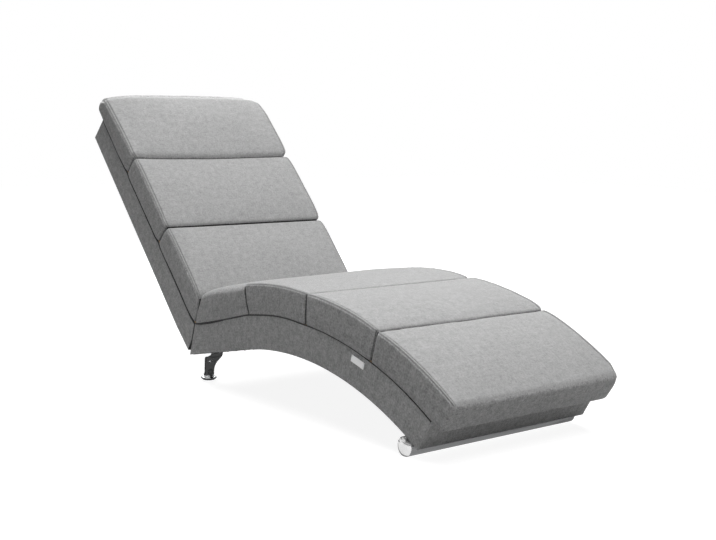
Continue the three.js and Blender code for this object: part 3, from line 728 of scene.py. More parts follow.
def mottle_effect():
    """Broad uneven patches, for dust, handling and fading."""
    limits = [("Size", "Float", 0.1), ("Low", "Float", 0.0), ("High", "Float", 1.0)]
    tree, given, result = effect("handling", [("Place", "Vector", None), *limits], [("Mask", "Float")])
    place = scaled(tree, given["Place"], maths(tree, "DIVIDE", 1.0, given["Size"]))
    patches = speckle(tree, place, 1.0, 4.0, 0.6)
    mask = between(tree, patches, 0.3, 0.7, given["Low"], given["High"])
    tree.links.new(mask, result["Mask"])
    return tree


LINEN = linen_effect()
HANDLING = mottle_effect()


def material(name):
    made = bpy.data.materials.new(name)
    made.use_nodes = True
    tree = made.node_tree
    return made, tree, tree.nodes["Principled BSDF"]


def here(tree):
    return put(tree, "ShaderNodeTexCoord").outputs["Object"]


def on_cloth(tree):
    return put(tree, "ShaderNodeUVMap", uv_map="UVMap").outputs[0]


def noted(tree, name):
    return put(tree, "ShaderNodeAttribute", attribute_name=name).outputs["Fac"]


def handled(tree, size, low, high):
    inputs = {"Place": here(tree), "Size": size, "Low": low, "High": high}
    return put(tree, "ShaderNodeGroup", inputs, node_tree=HANDLING).outputs[0]


def coat(tree, shader, colour, rough, height, distance, strength=1.0):
    """Feeds the shader its colour and roughness, and bumps its surface by a height."""
    tree.links.new(colour, shader.inputs["Base Color"])
    tree.links.new(rough, shader.inputs["Roughness"])
    inputs = {"Height": height, "Distance": distance, "Strength": strength}
    tree.links.new(put(tree, "ShaderNodeBump", inputs).outputs[0], shader.inputs["Normal"])


def feed(shader, **values):
    """Sets the shader's own sockets; a name's underscores stand for spaces."""
    for name, value in values.items():
        shader.inputs[name.replace("_", " ")].default_value = value


# How much stronger the painted yarn contrast is on the side panels, standing in for grazing light.
SIDE_YARN = 1.9


def linen(name, light, dark, slub=0.8, heather=1.4):
    """The sides of the cushions and boxes get a stronger painted yarn contrast than the tops, standing in for
    the light grazing the weave there.
    """
    made, tree, shader = material(name)
    place, panel = on_cloth(tree), noted(tree, "side_cloth")
    slub = between(tree, panel, 0.0, 1.0, slub, slub * SIDE_YARN)
    heather = between(tree, panel, 0.0, 1.0, heather, heather * SIDE_YARN)
    inputs = {"Place": place, "Yarn": 1.25, "Slub": slub, "Heather": heather}
    inputs |= {"Light": grey(light), "Dark": grey(dark)}
    weave = put(tree, "ShaderNodeGroup", inputs, node_tree=LINEN).outputs
    colour = dimmed(tree, weave["Color"], handled(tree, 0.11, 0.955, 1.02))
    # Painted shade: the noted share darkens the cloth's colour in seams, creases and grooves, down to a tenth.
    painted_shade = between(tree, noted(tree, "crease_shade"), 0.0, 1.0, 1.0, 0.10)
    rough = between(tree, weave["Height"], 0.0, 1.2, 0.98, 0.86)
    coat(tree, shader, dimmed(tree, colour, painted_shade), rough, weave["Height"], 0.00035, 0.8)
    feed(shader, Sheen_Weight=0.45, Sheen_Roughness=0.4, Specular_IOR_Level=0.2)
    return made


def yarn_material():
    made, tree, shader = material("sewing thread")
    inputs = {"Vector": here(tree), "Scale": 900.0, "Distortion": 2.0}
    twist = put(tree, "ShaderNodeTexWave", inputs).outputs[1]
    tone = blended(tree, twist, grey(0.30), grey(0.46))
    coat(tree, shader, tone, between(tree, twist, 0, 1, 0.75, 0.55), twist, 0.0001)
    return made


def plywood():
    made, tree, shader = material("birch plywood")
    place = here(tree)
    inputs = {"Vector": scaled(tree, place, (0.35, 3.0, 3.0)), "Scale": 9.0, "Distortion": 6.0}
    inputs |= {"Detail": 4.0, "Detail Scale": 1.4}
    rings = put(tree, "ShaderNodeTexWave", inputs, wave_type="BANDS", bands_direction="Z").outputs[1]
    pores = speckle(tree, scaled(tree, place, (30, 900, 900)), 1.0, 3.0)
    tone = blended(tree, rings, (0.45, 0.30, 0.16, 1), (0.60, 0.44, 0.27, 1))
    open_pores = between(tree, pores, 0.55, 0.75, 0.0, 0.5)
    marked = blended(tree, open_pores, tone, (0.25, 0.15, 0.08, 1))
    worn = blended(tree, handled(tree, 0.09, 0.0, 0.25), marked, (0.72, 0.60, 0.42, 1))
    coat(tree, shader, worn, between(tree, pores, 0, 1, 0.5, 0.8), pores, 0.0002, 0.6)
    return made


def foam_material():
    made, tree, shader = material("seat foam")
    cells = put(tree, "ShaderNodeTexVoronoi", {"Vector": here(tree), "Scale": 520.0}).outputs[0]
    share = between(tree, cells, 0.0, 0.6)
    tone = blended(tree, share, (0.50, 0.45, 0.30, 1), (0.80, 0.75, 0.58, 1))
    aged = blended(tree, handled(tree, 0.08, 0.0, 0.35), tone, (0.78, 0.66, 0.38, 1))
    coat(tree, shader, aged, between(tree, cells, 0.0, 0.6, 1.0, 0.85), cells, 0.0006)
    return made


def felted_black():
    made, tree, shader = material("black dust cloth")
    place = on_cloth(tree)
    inputs = {"Vector": place, "Scale": 420.0, "Randomness": 0.15}
    dots = put(tree, "ShaderNodeTexVoronoi", inputs).outputs[0]
    fibres = speckle(tree, scaled(tree, place, (1500, 300, 0)), 1.0, 4.0, 0.7)
    tone = blended(tree, fibres, grey(0.012), grey(0.035))
    dusty = blended(tree, handled(tree, 0.07, 0.0, 0.3), tone, grey(0.09, 0.06))
    height = weighted(tree, (dots, 1), (fibres, 0.4))
    coat(tree, shader, dusty, between(tree, fibres, 0, 1, 0.75, 0.95), height, 0.0004)
    return made


def metal(name, colour, rough_low, rough_high, smudge):
    """Bare or plated metal with fine polishing marks and the haze of handling."""
    made, tree, shader = material(name)
    marks = speckle(tree, scaled(tree, here(tree), (60, 900, 60)), 1.0, 3.0, 0.6)
    haze = handled(tree, smudge, 0.0, 1.0)
    mixed = weighted(tree, (marks, 0.4), (haze, 0.6))
    dull = blended(tree, haze, colour, tuple(c * 0.9 for c in colour[:3]) + (1,))
    rough = between(tree, mixed, 0.2, 0.8, rough_low, rough_high)
    coat(tree, shader, dull, rough, marks, 0.00002, 0.3)
    feed(shader, Metallic=1.0)
    return made


def satin_white():
    made, tree, shader = material("woven label")
    parts = parts_of(tree, scaled(tree, on_cloth(tree), (2600, 2600, 0)))
    waves = [maths(tree, "ABSOLUTE", maths(tree, "SINE", parts[axis])) for axis in (0, 1)]
    height = maths(tree, "MAXIMUM", *waves)
    tone = blended(tree, height, grey(0.82), grey(0.95))
    tone = blended(tree, handled(tree, 0.02, 0.0, 0.2), tone, grey(0.8))
    coat(tree, shader, tone, between(tree, height, 0, 1, 0.6, 0.35), height, 0.00008)
    feed(shader, Metallic=0.4, Sheen_Weight=0.2)
    return made


def glossy_cap():
    made, tree, shader = material("plated cap")
    haze = handled(tree, 0.02, 0.0, 1.0)
    tone = blended(tree, haze, grey(0.76), grey(0.68))
    coat(tree, shader, tone, between(tree, haze, 0, 1, 0.10, 0.2), haze, 0.00003, 0.3)
    feed(shader, Metallic=0.9)
    return made


CUSHION_LINEN = linen("cushion linen", 0.56, 0.27)
# The box's cloth is the cushions' linen painted lighter, a lit copy that brings the box sides up to the
# brightness of the cushion sides.
BOX_LINEN = linen("box linen", 0.59, 0.30)
THREAD = yarn_material()
WOOD = plywood()
FOAM = foam_material()
DUST_CLOTH = felted_black()
STEEL = metal("zinc plated steel", (0.62, 0.62, 0.60, 1), 0.25, 0.45, 0.03)
CHROME = metal("chrome plate", (0.86, 0.87, 0.88, 1), 0.04, 0.12, 0.05)
LABEL_CLOTH = satin_white()
CAP_PLATE = glossy_cap()

# ---------------------------------------------------------------- repeated small parts

STITCH_SIZES = {"Pitch": 0.006, "Length": 0.0042, "Thickness": 0.0009, "Sway": 0.06}


def stitch_tree():
    """Lays short rounded bars along a line of points, one each pitch, and gives them a material."""
    tree = bpy.data.node_groups.new("stitch row", "GeometryNodeTree")
    labels = [("Geometry", "Geometry", None), *((name, "Float", size) for name, size in STITCH_SIZES.items())]
    for label, kind, value in [*labels, ("Seed", "Int", 5), ("Material", "Material", None)]:
        socket = tree.interface.new_socket(label, in_out="INPUT", socket_type="NodeSocket" + kind)
        if value is not None:
            socket.default_value = value
    tree.interface.new_socket("Geometry", in_out="OUTPUT", socket_type="NodeSocketGeometry")
    given = tree.nodes.new("NodeGroupInput").outputs

    def step(kind, inputs=(), **options):
        return put(tree, kind, inputs, **options).outputs[0]

    line = step("GeometryNodeMeshToCurve", {0: given["Geometry"]})
    even = step("GeometryNodeResampleCurve", {"Curve": line, "Length": given["Pitch"]}, mode="LENGTH")
    bar = step("GeometryNodeMeshUVSphere", {"Segments": 6, "Rings": 4, "Radius": 0.5})
    across = given["Thickness"]
    size = step("ShaderNodeCombineXYZ", {0: across, 1: across, 2: given["Length"]})
    bar = step("GeometryNodeTransform", {"Geometry": bar, "Scale": size})
    way = step("GeometryNodeInputTangent")
    turn = step("FunctionNodeAlignRotationToVector", {"Vector": way}, axis="Z")
    low = maths(tree, "MULTIPLY", given["Sway"], -1.0)
    limits = {0: spread(tree, low), 1: spread(tree, given["Sway"]), "Seed": given["Seed"]}
    swing = step("FunctionNodeRandomValue", limits, data_type="FLOAT_VECTOR")
    lean = step("FunctionNodeEulerToRotation", {0: swing})
    turn = step("FunctionNodeRotateRotation", {0: turn, 1: lean})
    laid = step("GeometryNodeInstanceOnPoints", {"Points": even, "Instance": bar, "Rotation": turn})
    real = step("GeometryNodeRealizeInstances", {0: laid})
    done = step("GeometryNodeSetMaterial", {"Geometry": real, "Material": given["Material"]})
    tree.links.new(done, tree.nodes.new("NodeGroupOutput").inputs[0])
    return tree


STITCHES = stitch_tree()


def sewn_rows(name, rows, pitch, length, thickness, thread):
    """One piece of stitches along several lines of points in millimetres."""
    ends = np.cumsum([len(row) for row in rows])
    edges = [(i, i + 1) for i in range(ends[-1] - 1) if i + 1 not in ends]
    piece = mesh_piece(name, np.concatenate(rows), [], edges=edges)
    modifier = piece.modifiers.new("stitches", "NODES")
    modifier.node_group = STITCHES
    wanted = {"Pitch": pitch, "Length": length, "Thickness": thickness, "Material": thread}
    for item in STITCHES.interface.items_tree:
        if item.in_out == "INPUT" and item.name in wanted:
            modifier[item.identifier] = wanted[item.name]
    shade_smooth(bake_modifiers(piece).data)
    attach(piece, "chaise")


# ---------------------------------------------------------------- turned and drawn metal


def spokes_of(direction, sides):
    """An axis along a direction and a ring of spokes round it, one unit long."""
    up = Vector(direction).normalized()
    side = up.cross(Vector((0, 1, 0)))
    if side.length < 0.1:
        side = up.cross(Vector((1, 0, 0)))
    side.normalize()
    axis, u, v = (np.array(w[:]) for w in (up, side, up.cross(side)))
    angles = np.arange(sides) * 2 * math.pi / sides
    return axis, np.outer(np.cos(angles), u) + np.outer(np.sin(angles), v), angles


def ring_faces(low, high):
    """Faces between two rings of point numbers; a ring may be a single tip."""
    faces = []
    for i in range(max(len(low), len(high))):
        places = ((low, i), (low, i + 1), (high, i + 1), (high, i))
        face = list(dict.fromkeys(ring[place % len(ring)] for ring, place in places))
        if len(face) > 2:
            faces.append(face)
    return faces


def metal_piece(name, points, pairs, body="chaise", more=()):
    """A smooth piece with outward normals from rings of points joined in pairs."""
    faces = [face for low, high in pairs for face in ring_faces(low, high)]
    piece = mesh_piece(name, points, [*faces, *more], body)
    work = bmesh.new()
    work.from_mesh(piece.data)
    bmesh.ops.remove_doubles(work, verts=work.verts, dist=1e-6)
    bmesh.ops.recalc_face_normals(work, faces=work.faces)
    work.to_mesh(piece.data)
    work.free()
    return piece


def turned_piece(name, profile, origin, direction, sides, body="chaise", closed=True):
    """A turned piece from [radius, height] points, its axis from an origin along a direction."""
    axis, ring, _ = spokes_of(direction, sides)
    at = np.array(Vector(origin)[:])
    points, rows = [], []
    for radius, height in profile:
        tip = radius < 1e-6
        rows.append(list(range(len(points), len(points) + (1 if tip else sides))))
        points.extend([at + axis * height] if tip else at + axis * height + ring * radius)
    pairs = list(zip(rows, rows[1:]))
    if closed:
        pairs.append((rows[-1], rows[0]))
    return metal_piece(name, points, pairs, body)


def crease_by_angle(piece, degrees=32):
    """Smooth faces with hard edges kept where the surface turns sharply."""
    work = bmesh.new()
    work.from_mesh(piece.data)
    limit = math.radians(degrees)
    for edge in work.edges:
        edge.smooth = len(edge.link_faces) != 2 or edge.calc_face_angle(0) < limit
    work.to_mesh(piece.data)
    work.free()
    return piece


def softened(profile, radius, steps=3):
    """Rounds the outer corners of a turning profile by a small radius."""
    out = [profile[0]]
    for before, corner, after in zip(profile, profile[1:], profile[2:]):
        if corner[0] < 1e-6:
            out.append(corner)
            continue
        corner = np.array(corner, float)
        ways = [np.array(other) - corner for other in (before, after)]
        lengths = [np.linalg.norm(way) for way in ways]
        reach = min(radius, lengths[0] * 0.45, lengths[1] * 0.45)
        a, b = (corner + way / max(length, 1e-9) * reach for way, length in zip(ways, lengths))
        for t in np.arange(steps + 1) / steps:
            out.append(tuple((1 - t) ** 2 * a + 2 * t * (1 - t) * corner + t * t * b))
    return [*out, profile[-1]]


def threaded(radius, start, end, pitch):
    """The profile of a screw thread, as rings along a shank."""
    count = max(1, int(abs(end - start) / pitch))
    step = (end - start) / count
    points = []
    for i in range(count):
        points += [(radius * 0.86, start + step * i), (radius, start + step * (i + 0.5))]
    return points + [(radius * 0.86, end)]


def hexagon(name, across, low, high, origin, direction, bore=0.01):
    """A six-sided head or nut with its top corners turned off."""
    count = 48
    axis, spokes, angles = spokes_of(direction, count)
    flat = across / 2 * math.cos(math.pi / 6) / np.cos(angles % (math.pi / 3) - math.pi / 6)
    levels = ((0.93, low), (1.0, low + 0.5), (1.0, high - 0.9), (0.9, high))
    radii = [(np.minimum(flat, across / 2 * share), height) for share, height in levels]
    radii += [(np.full(count, bore), height) for height in (low, high)]
    at = np.array(Vector(origin)[:])
    points = [at + axis * height + spokes * radius[:, None] for radius, height in radii]
    rows = np.arange(len(radii) * count).reshape(-1, count).tolist()
    order = [rows[i] for i in (0, 1, 2, 3, 5, 4, 0)]
    piece = metal_piece(name, np.concatenate(points), zip(order, order[1:]))
    return crease_by_angle(piece, 25)


def joined(name, pieces):
    """Several meshes as one piece."""
    work = bmesh.new()
    for piece in pieces:
        work.from_mesh(piece.data)
        bpy.data.objects.remove(piece)
    made = mesh_piece(name, np.empty((0, 3)), [])
    work.to_mesh(made.data)
    work.free()
    return made


def bolt_piece(name, node, origin, direction, end, seat):
    thread = threaded(4, end + 1, min(end + 22, seat - 1), 1.25)
    shank = [(0, end), (3.0, end), *thread, (4, min(end + 22.5, seat)), (4, seat), (0, seat)]
    parts = [
        crease_by_angle(turned_piece(name + "_shank", shank, origin, direction, 24), 40),
        hexagon(name + "_head", 14, seat, seat + 5, origin, direction),
    ]
    finish_piece(joined(name, parts), STEEL, "steel", node)


def nut_piece(name, node, origin, direction, seat):
    nut = hexagon(name, 14, seat, seat + 6.5, origin, direction, 4.3)
    finish_piece(nut, STEEL, "steel", node)


def fold_fixings():
    x, z = turned(math.sin(MITRE), -math.cos(MITRE), SEAT_RISE)
    way = Vector((x, 0, z))
    px, pz = seat_point(-35 * math.cos(MITRE), -35 * math.sin(MITRE))
    for place, y in FOLD_BOLTS.items():
        origin = (px, y, pz)
        bolt_piece(f"fold_bolt_{place}_turned", f"fold_bolt_{place}", origin, way, -23.75, 17.25)
        nut_piece(f"fold_nut_{place}_cut", f"fold_nut_{place}", origin, way, -23.75)


def smooth_through(xs, ys, at):
    """A smooth curve through a few measured places, without overshoot."""
    xs, ys, at = (np.asarray(v, float) for v in (xs, ys, at))
    slopes = np.diff(ys) / np.diff(xs)
    tangent = np.zeros_like(ys)
    tangent[0], tangent[-1] = slopes[0], slopes[-1]
    both = slopes[:-1] * slopes[1:]
    with np.errstate(divide="ignore", invalid="ignore"):
        mean = 2 * both / (slopes[:-1] + slopes[1:])
    tangent[1:-1] = np.where(both > 0, mean, 0)
    i = np.clip(np.searchsorted(xs, at) - 1, 0, len(xs) - 2)
    width = xs[i + 1] - xs[i]
    t = (at - xs[i]) / width
    start = (2 * t**3 - 3 * t**2 + 1) * ys[i] + (t**3 - 2 * t**2 + t) * width * tangent[i]
    return start + (3 * t**2 - 2 * t**3) * ys[i + 1] + (t**3 - t**2) * width * tangent[i + 1]


LEG_SHARES = [0, 0.22, 0.4, 0.56, 0.7, 0.84, 1]
LEG_GIRTHS = [1, 1.02, 1.12, 1.32, 1.6, 1.84, 1.92]
LEG_LEANS = [0, 0.03, 0.16, 0.4, 0.7, 0.92, 1]
LEG_FOOT = 14.3
LEG_BORE = 4.8


def rear_legs():
    """Cast curved legs: slim and upright at the foot, flaring forward up to the box."""
    top_x, top_z = seat_point(LEG_PLACE, LEG_TOP)
    px, pz = seat_point(LEG_PLACE, 0)
    normal = seat_normal(0)
    levels = np.concatenate([[0, 0.006, 0.02], np.linspace(0.05, 0.97, 38), [0.99, 1]])
    girth = 15 * smooth_through(LEG_SHARES, LEG_GIRTHS, levels)
    girth[:2] -= (1.0, 0.3)
    sides = 72
    angles = np.arange(sides) * 2 * math.pi / sides
    cos, sin = np.cos(angles), np.sin(angles)
    lean = smooth_through(LEG_SHARES, LEG_LEANS, levels)[:, None]
    level, girth = levels[:, None], girth[:, None]
    x = top_x - LEG_LEAN * (1 - lean) + girth * cos * np.cos(SEAT_RISE * level)
    z = LEG_FOOT + (top_z - LEG_FOOT) * level + girth * cos * np.sin(SEAT_RISE * level)
    for side, y in LEG_SIDES.items():
        points = list(np.stack([x, y - girth * sin, z], axis=2))
        for height in (LEG_FOOT, LEG_FOOT + 24):
            bore = [top_x - LEG_LEAN + LEG_BORE * cos, y - LEG_BORE * sin, np.full(sides, height)]
            points.append(np.stack(bore, axis=1))
        rows = np.arange(len(points) * sides).reshape(-1, sides).tolist()
        pairs = [*zip(rows[:-2], rows[1:-2]), (rows[-2], rows[0]), (rows[-1], rows[-2])]
        ends = [rows[-3], rows[-1]]
        leg = metal_piece(f"curved_leg_{side}", np.concatenate(points), pairs, more=ends)
        finish_piece(crease_by_angle(leg, 35), CHROME, "chrome", f"rear_leg_{side}")
        at = (px, y, pz)
        bolt_piece(f"leg_bolt_{side}", f"rear_leg_bolt_{side}", at, normal, LEG_TOP - 19.7, -68.5)
        ring = softened([(4.3, -70.4), (8, -70.4), (8, -68.8), (4.3, -68.8), (4.3, -70.4)], 0.4)
        washer = crease_by_angle(turned_piece(f"leg_washer_{side}", ring[:-1], at, normal, 40))
        finish_piece(washer, STEEL, "steel", f"rear_leg_washer_{side}")


DISC = [(0, 0), (16, 0), (16.4, 0.6), (22.6, 6.6), (23, 7.6), (23, 9.4), (21.4, 11), (17.2, 11)]
COLLAR = [(16.5, 11.4), (16.5, 13.4), (15.8, 14), (4.5, 14)]


def disc_feet():
    """Levelling feet: a flared disc, a collar and a threaded stud, turned in one."""
    x = float(seat_point(LEG_PLACE, LEG_TOP)[0]) - LEG_LEAN
    stud = [*threaded(4.5, 14.2, 36.5, 1.5), (3.4, 37.6), (0, 37.6)]
    profile = [*softened(DISC + COLLAR, 0.8), *stud]
    for side, y in LEG_SIDES.items():
        name, body = f"disc_foot_{side}", f"{side}_glide"
        foot = turned_piece(name, profile, (x, y, 0), (0, 0, 1), 72, body, closed=False)
        finish_piece(crease_by_angle(foot, 28), CHROME, "chrome", f"rear_glide_{side}")


def front_foot():
    """A chrome tube across the front, closed at each end by a shallow domed cap."""
    x, z = seat_point(TUBE_PLACE, TUBE_DROP)
    centre = (float(x), 0.0, float(z))
    lip = [(23.2, TUBE_END), (22.3, TUBE_END), (22.0, TUBE_END - 0.3)]
    half_wall = [(TUBE_RADIUS, TUBE_END - 0.4), *lip]
    wall = [(radius, -place) for radius, place in half_wall[::-1]] + half_wall
    tube = turned_piece("front_foot_tube", wall, centre, (0, 1, 0), 96)
    finish_piece(crease_by_angle(tube, 40), CHROME, "chrome", "front_tube")
    start = TUBE_END + GAP
    dome = [(TUBE_RADIUS * r, start + 0.8 + 4.4 * (1 - r * r)) for r in np.linspace(1, 0, 22)]
    plug = [(0, start - 12), (21.0, start - 12), (21.7, start - 11), (21.7, start), (23.1, start)]
    profile = [*plug, (TUBE_RADIUS, start + 0.4), *dome[:-1], (0, start + 5.2)]
    px, pz = seat_point(TUBE_PLACE, 0)
    normal = seat_normal(TUBE_PLACE)
    for side, y in TUBE_SIDES.items():
        cap = turned_piece(f"domed_cap_{side}", profile, centre, (0, math.copysign(1, y), 0), 96)
        finish_piece(crease_by_angle(cap, 15), CAP_PLATE, "cap", f"front_cap_{side}")
        at = (px, y, pz)
        bolt_piece(f"tube_bolt_{side}", f"front_bolt_{side}", at, normal, TUBE_DROP, -70.4)
        nut_piece(f"tube_nut_{side}", f"front_nut_{side}", at, normal, -98.06)


# ---------------------------------------------------------------- foam, covers, dust cloth, label

FOAM_INSET = 16.3


def numbered(word):
    return [f"{part}_{word}_{number}" for part in ("seat", "back") for number in (1, 2, 3)]


def foam_blocks():
    """Cut foam blocks inside the covers, with softened edges."""
    for cushion, node in zip(CUSHIONS, numbered("foam")):
        deck = SEAT_DECK if cushion in SEAT_CUSHIONS else BACK_DECK
        top = cushion.height - cushion.crown - FOAM_INSET
        start, end = cushion.start + FOAM_INSET, min(cushion.end, deck) - FOAM_INSET
        half = HALF_WIDTH - FOAM_INSET
        edge = (0, 1.2, 3, 6)
        along, across = stations(start, end, 16, edge), stations(-half, half, 20, edge)
        boxed, faces, maps = panelled_box(along, across, stations(0, top, 14, edge), cushion.hand)
        s, y, h = softened_box(*boxed.T, (start, end), half, (0, top), 3)
        ahead = 1 - eased(cushion.share(s), 0, 0.3)
        x, z = cushion.point(s + cushion.slant * h * ahead, h)
        name = node.replace("foam", "foam_block")
        block = mesh_piece(name, np.stack([x, y, z], 1), faces.tolist())
        lay_cloth_map(block.data, boxed, faces, maps)
        finish_piece(block, FOAM, "foam", node)


def hanging(along, cushions):
    """How far the lower edges of the cushions hang below the top of their box."""
    depth = np.zeros(len(along))
    for cushion in cushions:
        inside = (along > cushion.start) & (along < cushion.end)
        depth = np.where(inside, LIP_DROP * cushion.lip_size(along), depth)
    return depth


def painted_box_shade(places, cushions, reach):
    """Painted shade on a box: the shadow just below the soft edges of its cushions, and a dark line in the gap
    at the fold.
    """
    s, y, h = places.T
    depth = np.maximum(hanging(s, cushions), 0)
    lip = (np.abs(y) > HALF_WIDTH - 0.5) * (1 - eased(-h, depth + reach, depth + reach + 1.6))
    return lip + (1 - eased(s, 1.0, 4.0))


def shell_of(name, box, keep, place, cushions, reach):
    """A cloth shell from some panels of a box, with a real thickness and a map of the cloth."""
    boxed, faces, maps = box
    faces, maps = faces[keep], maps[keep]
    used = np.unique(faces)
    number = np.full(len(boxed), -1)
    number[used] = np.arange(len(used))
    boxed, faces = boxed[used], number[faces]
    piece = mesh_piece(name, place(*boxed.T), faces.tolist())
    lay_cloth_map(piece.data, boxed, faces, maps)
    # Painted shade on the box cloth, darkened by its material.
    note(piece.data, "crease_shade", painted_box_shade(boxed, cushions, reach))
    note(piece.data, "side_cloth", np.ones(len(used)))
    return thicken(piece, 0.0014)


def stretch(cover, part):
    """Finishes a box's cloth, stretched over the box's two sides."""
    finish_piece(cover, BOX_LINEN, "box_cloth", f"{part}_box_cover")


BOX_EDGE = (0, 1.5, 3, 6, 12)
BRIM = (0, 2, 4, 5.5, 7, 8.5, 10, 11.5, 13, 15, 18)
LOW, HIGH = -BOX_DEPTH, 1.2
BOX_LEVELS = stations(LOW, HIGH, 9, BOX_EDGE, BRIM)
BOX_ROUND = 2.5


def seat_box_cloth():
    """The cloth round the seat box: both sides, the front and the mitred end, turned in below."""
    along = stations(0.5, SEAT_DECK, 9, BOX_EDGE)
    across = stations(-HALF_WIDTH, HALF_WIDTH, 12, (0, 1.5, 3, 7, 13, 20))
    box = panelled_box(along, across, BOX_LEVELS, 1)
    middle = box[0][box[1]].mean(axis=1)
    hem = (np.abs(middle[:, 1]) > HALF_WIDTH - 20) | (middle[:, 0] > SEAT_DECK - 13)
    hem |= (middle[:, 0] < 12) | (middle[:, 2] >= LOW + 0.1)
    keep = (middle[:, 2] < HIGH - 0.1) & hem

    def place(s, y, h):
        share = (s - 0.5) / (SEAT_DECK - 0.5)
        on_side = np.abs(y) > HALF_WIDTH - 0.5
        ease = eased(h, LOW, LOW + 12) * eased(h, HIGH, HIGH - 12)
        tension = ripples(s / 55, h / 60, 41) * 0.45 + ripples(s / 160, h / 90, 43) * 0.7
        puff = 0.8 * np.sin(np.pi * (h - LOW) / (HIGH - LOW))
        puff = puff * eased(share, 0, 0.03) * eased(share, 1, 0.97)
        out = np.sign(y) * on_side * ease * (tension * 0.6 + puff)
        risen = -np.minimum(hanging(s, SEAT_CUSHIONS), 0) * eased(h, HIGH - 18, HIGH)
        s, y, h = softened_box(s, y, h, (0.5, SEAT_DECK), HALF_WIDTH, (LOW, HIGH), BOX_ROUND)
        h = h + risen
        ahead = (mitre_station(0) + h * SLANT - 0.5) * (1 - eased(s, 0.5, 60))
        x, z = seat_point(s + ahead, h)
        return np.stack([x, y + out, z], axis=1)

    cover = shell_of("seat_box_cloth", box, keep, place, SEAT_CUSHIONS, 1.0)
    stretch(cover, "seat")


NOTCH = 48.0
TIP = 81.0
FLARE = 55.0


def back_box_cloth():
    """The cloth round the back box: its rear, both sides, the top end and the slant at the fold."""
    along = stations(0.0, BACK_DECK, 9, (*BOX_EDGE, 20, 30, 42, 55), BOX_EDGE)
    across = stations(-HALF_WIDTH, HALF_WIDTH, 11, (0, 1.5, 3, 7, 13))
    box = panelled_box(along, across, BOX_LEVELS, -1)
    keep = box[0][box[1]].mean(axis=1)[:, 2] < HIGH - 0.1

    def place(s, y, h):
        on_side, on_rear = np.abs(y) > HALF_WIDTH - 0.5, h < LOW + 0.5
        rim = eased(np.minimum(s, BACK_DECK - s), 0, 25)
        ease = eased(h, LOW, LOW + 12) * eased(h, HIGH, HIGH - 12)
        tension = ripples(s / 60, h / 60, 51) * 0.3 + ripples(s / 170, h / 90, 53) * 0.6
        out = np.sign(y) * on_side * ease * rim * (tension + 0.5)
        hollow = eased(HALF_WIDTH - np.abs(y), 0, 90) * eased(np.minimum(s - 40, BACK_DECK - s), 0, 90)
        waves = 1.6 * ripples(y / 120, s / 300, 57) + 0.8 * ripples(y / 40, s / 160, 59)
        slack = on_rear * hollow * waves
        s, y, h = softened_box(s, y, h, (0, BACK_DECK), HALF_WIDTH, (LOW, HIGH), BOX_ROUND)
        depth = -h
        knee = mitre_station(-NOTCH)
        beyond = (mitre_station(-TIP, 10) - knee) * (depth - NOTCH) / (TIP - NOTCH)
        line = np.where(depth < NOTCH, mitre_station(-depth), knee + beyond)
        low_part = BOX_DEPTH - 6 + 10 * np.clip((s + 40) / 95, 0, 1)
        high_part = BOX_DEPTH + 4 * np.clip((BACK_DECK - s) / (BACK_DECK - FLARE), 0, 1)
        full = np.where(s < FLARE, low_part, high_part)
        h = -depth * (1 + (full / BOX_DEPTH - 1) * (depth / BOX_DEPTH) ** 2)
        x, z = back_point(s + line * (1 - eased(s, 0, FLARE)), h + slack)
        return np.stack([x, y + out, z], axis=1)

    cover = shell_of("back_box_cloth", box, keep, place, BACK_CUSHIONS, 4.0)
    stretch(cover, "back")


def thin_cloth(name, points, places, quads, thickness):
    """A thin cloth laid out on a grid, whose places are its map of the cloth."""
    cloth = mesh_piece(name, np.stack(points, -1).reshape(-1, 3), quads.tolist())
    lay_cloth_map(cloth.data, places, quads)
    return thicken(cloth, thickness)


def on_seat(s, y, h):
    """A line of points from places along, across and above the seat's deck."""
    x, z = seat_point(s, h)
    return np.stack(np.broadcast_arrays(x, y, z), 1)


def dust_cloth():
    """Thin black cloth stapled under the seat, its edge turned in over the linen."""
    edge = (0, 2, 4, 8, 14, 22)
    along = stations(2.0, SEAT_DECK - 9, 14, edge)
    across = stations(-264, 264, 14, edge)
    s, y = np.meshgrid(along, across, indexing="ij")
    rim = np.minimum(np.minimum(s - along[0], along[-1] - s), 264 - np.abs(y))
    over = 1.1 * (1 - eased(rim, 8, 26))
    puck = 0.35 * ripples(s / 20, y / 20, 63) * (1 - eased(rim, 0, 40))
    depth = BOX_DEPTH + over + puck * (rim < 40) - 0.6 * eased(rim, 26, 60)
    x, z = seat_point(s + mitre_station(-BOX_DEPTH) * (1 - eased(s, 2, 60)), -depth)
    places = np.stack([s, y], -1).reshape(-1, 2)
    quads = grid_quads(np.arange(s.size).reshape(s.shape))[:, [0, 3, 2, 1]]
    middle = places[quads].mean(axis=1)
    holes = [(place, y) for place in (LEG_PLACE, LEG_PLACE + LEG_PIN) for y in LEG_SIDES.values()]
    holes += [(TUBE_PLACE, y) for y in TUBE_SIDES.values()]
    away = [np.hypot(*(middle - hole).T) > 9 for hole in holes]
    quads = quads[np.all(away, axis=0)]
    cloth = thin_cloth("black_dust_cloth", (x, y, z), places, quads, 0.0007)
    finish_piece(cloth, DUST_CLOTH, "dust_cloth", "seat_dust_cover")
    level = -BOX_DEPTH - 1.75
    rows = [on_seat(np.linspace(45, SEAT_DECK - 20, 120), side, level) for side in (-257.0, 257.0)]
    rows += [on_seat(end, np.linspace(-250, 250, 60), level) for end in (38.0, SEAT_DECK - 15)]
    sewn_rows("underside_staples", rows, 0.042, 0.0105, 0.0011, STEEL)


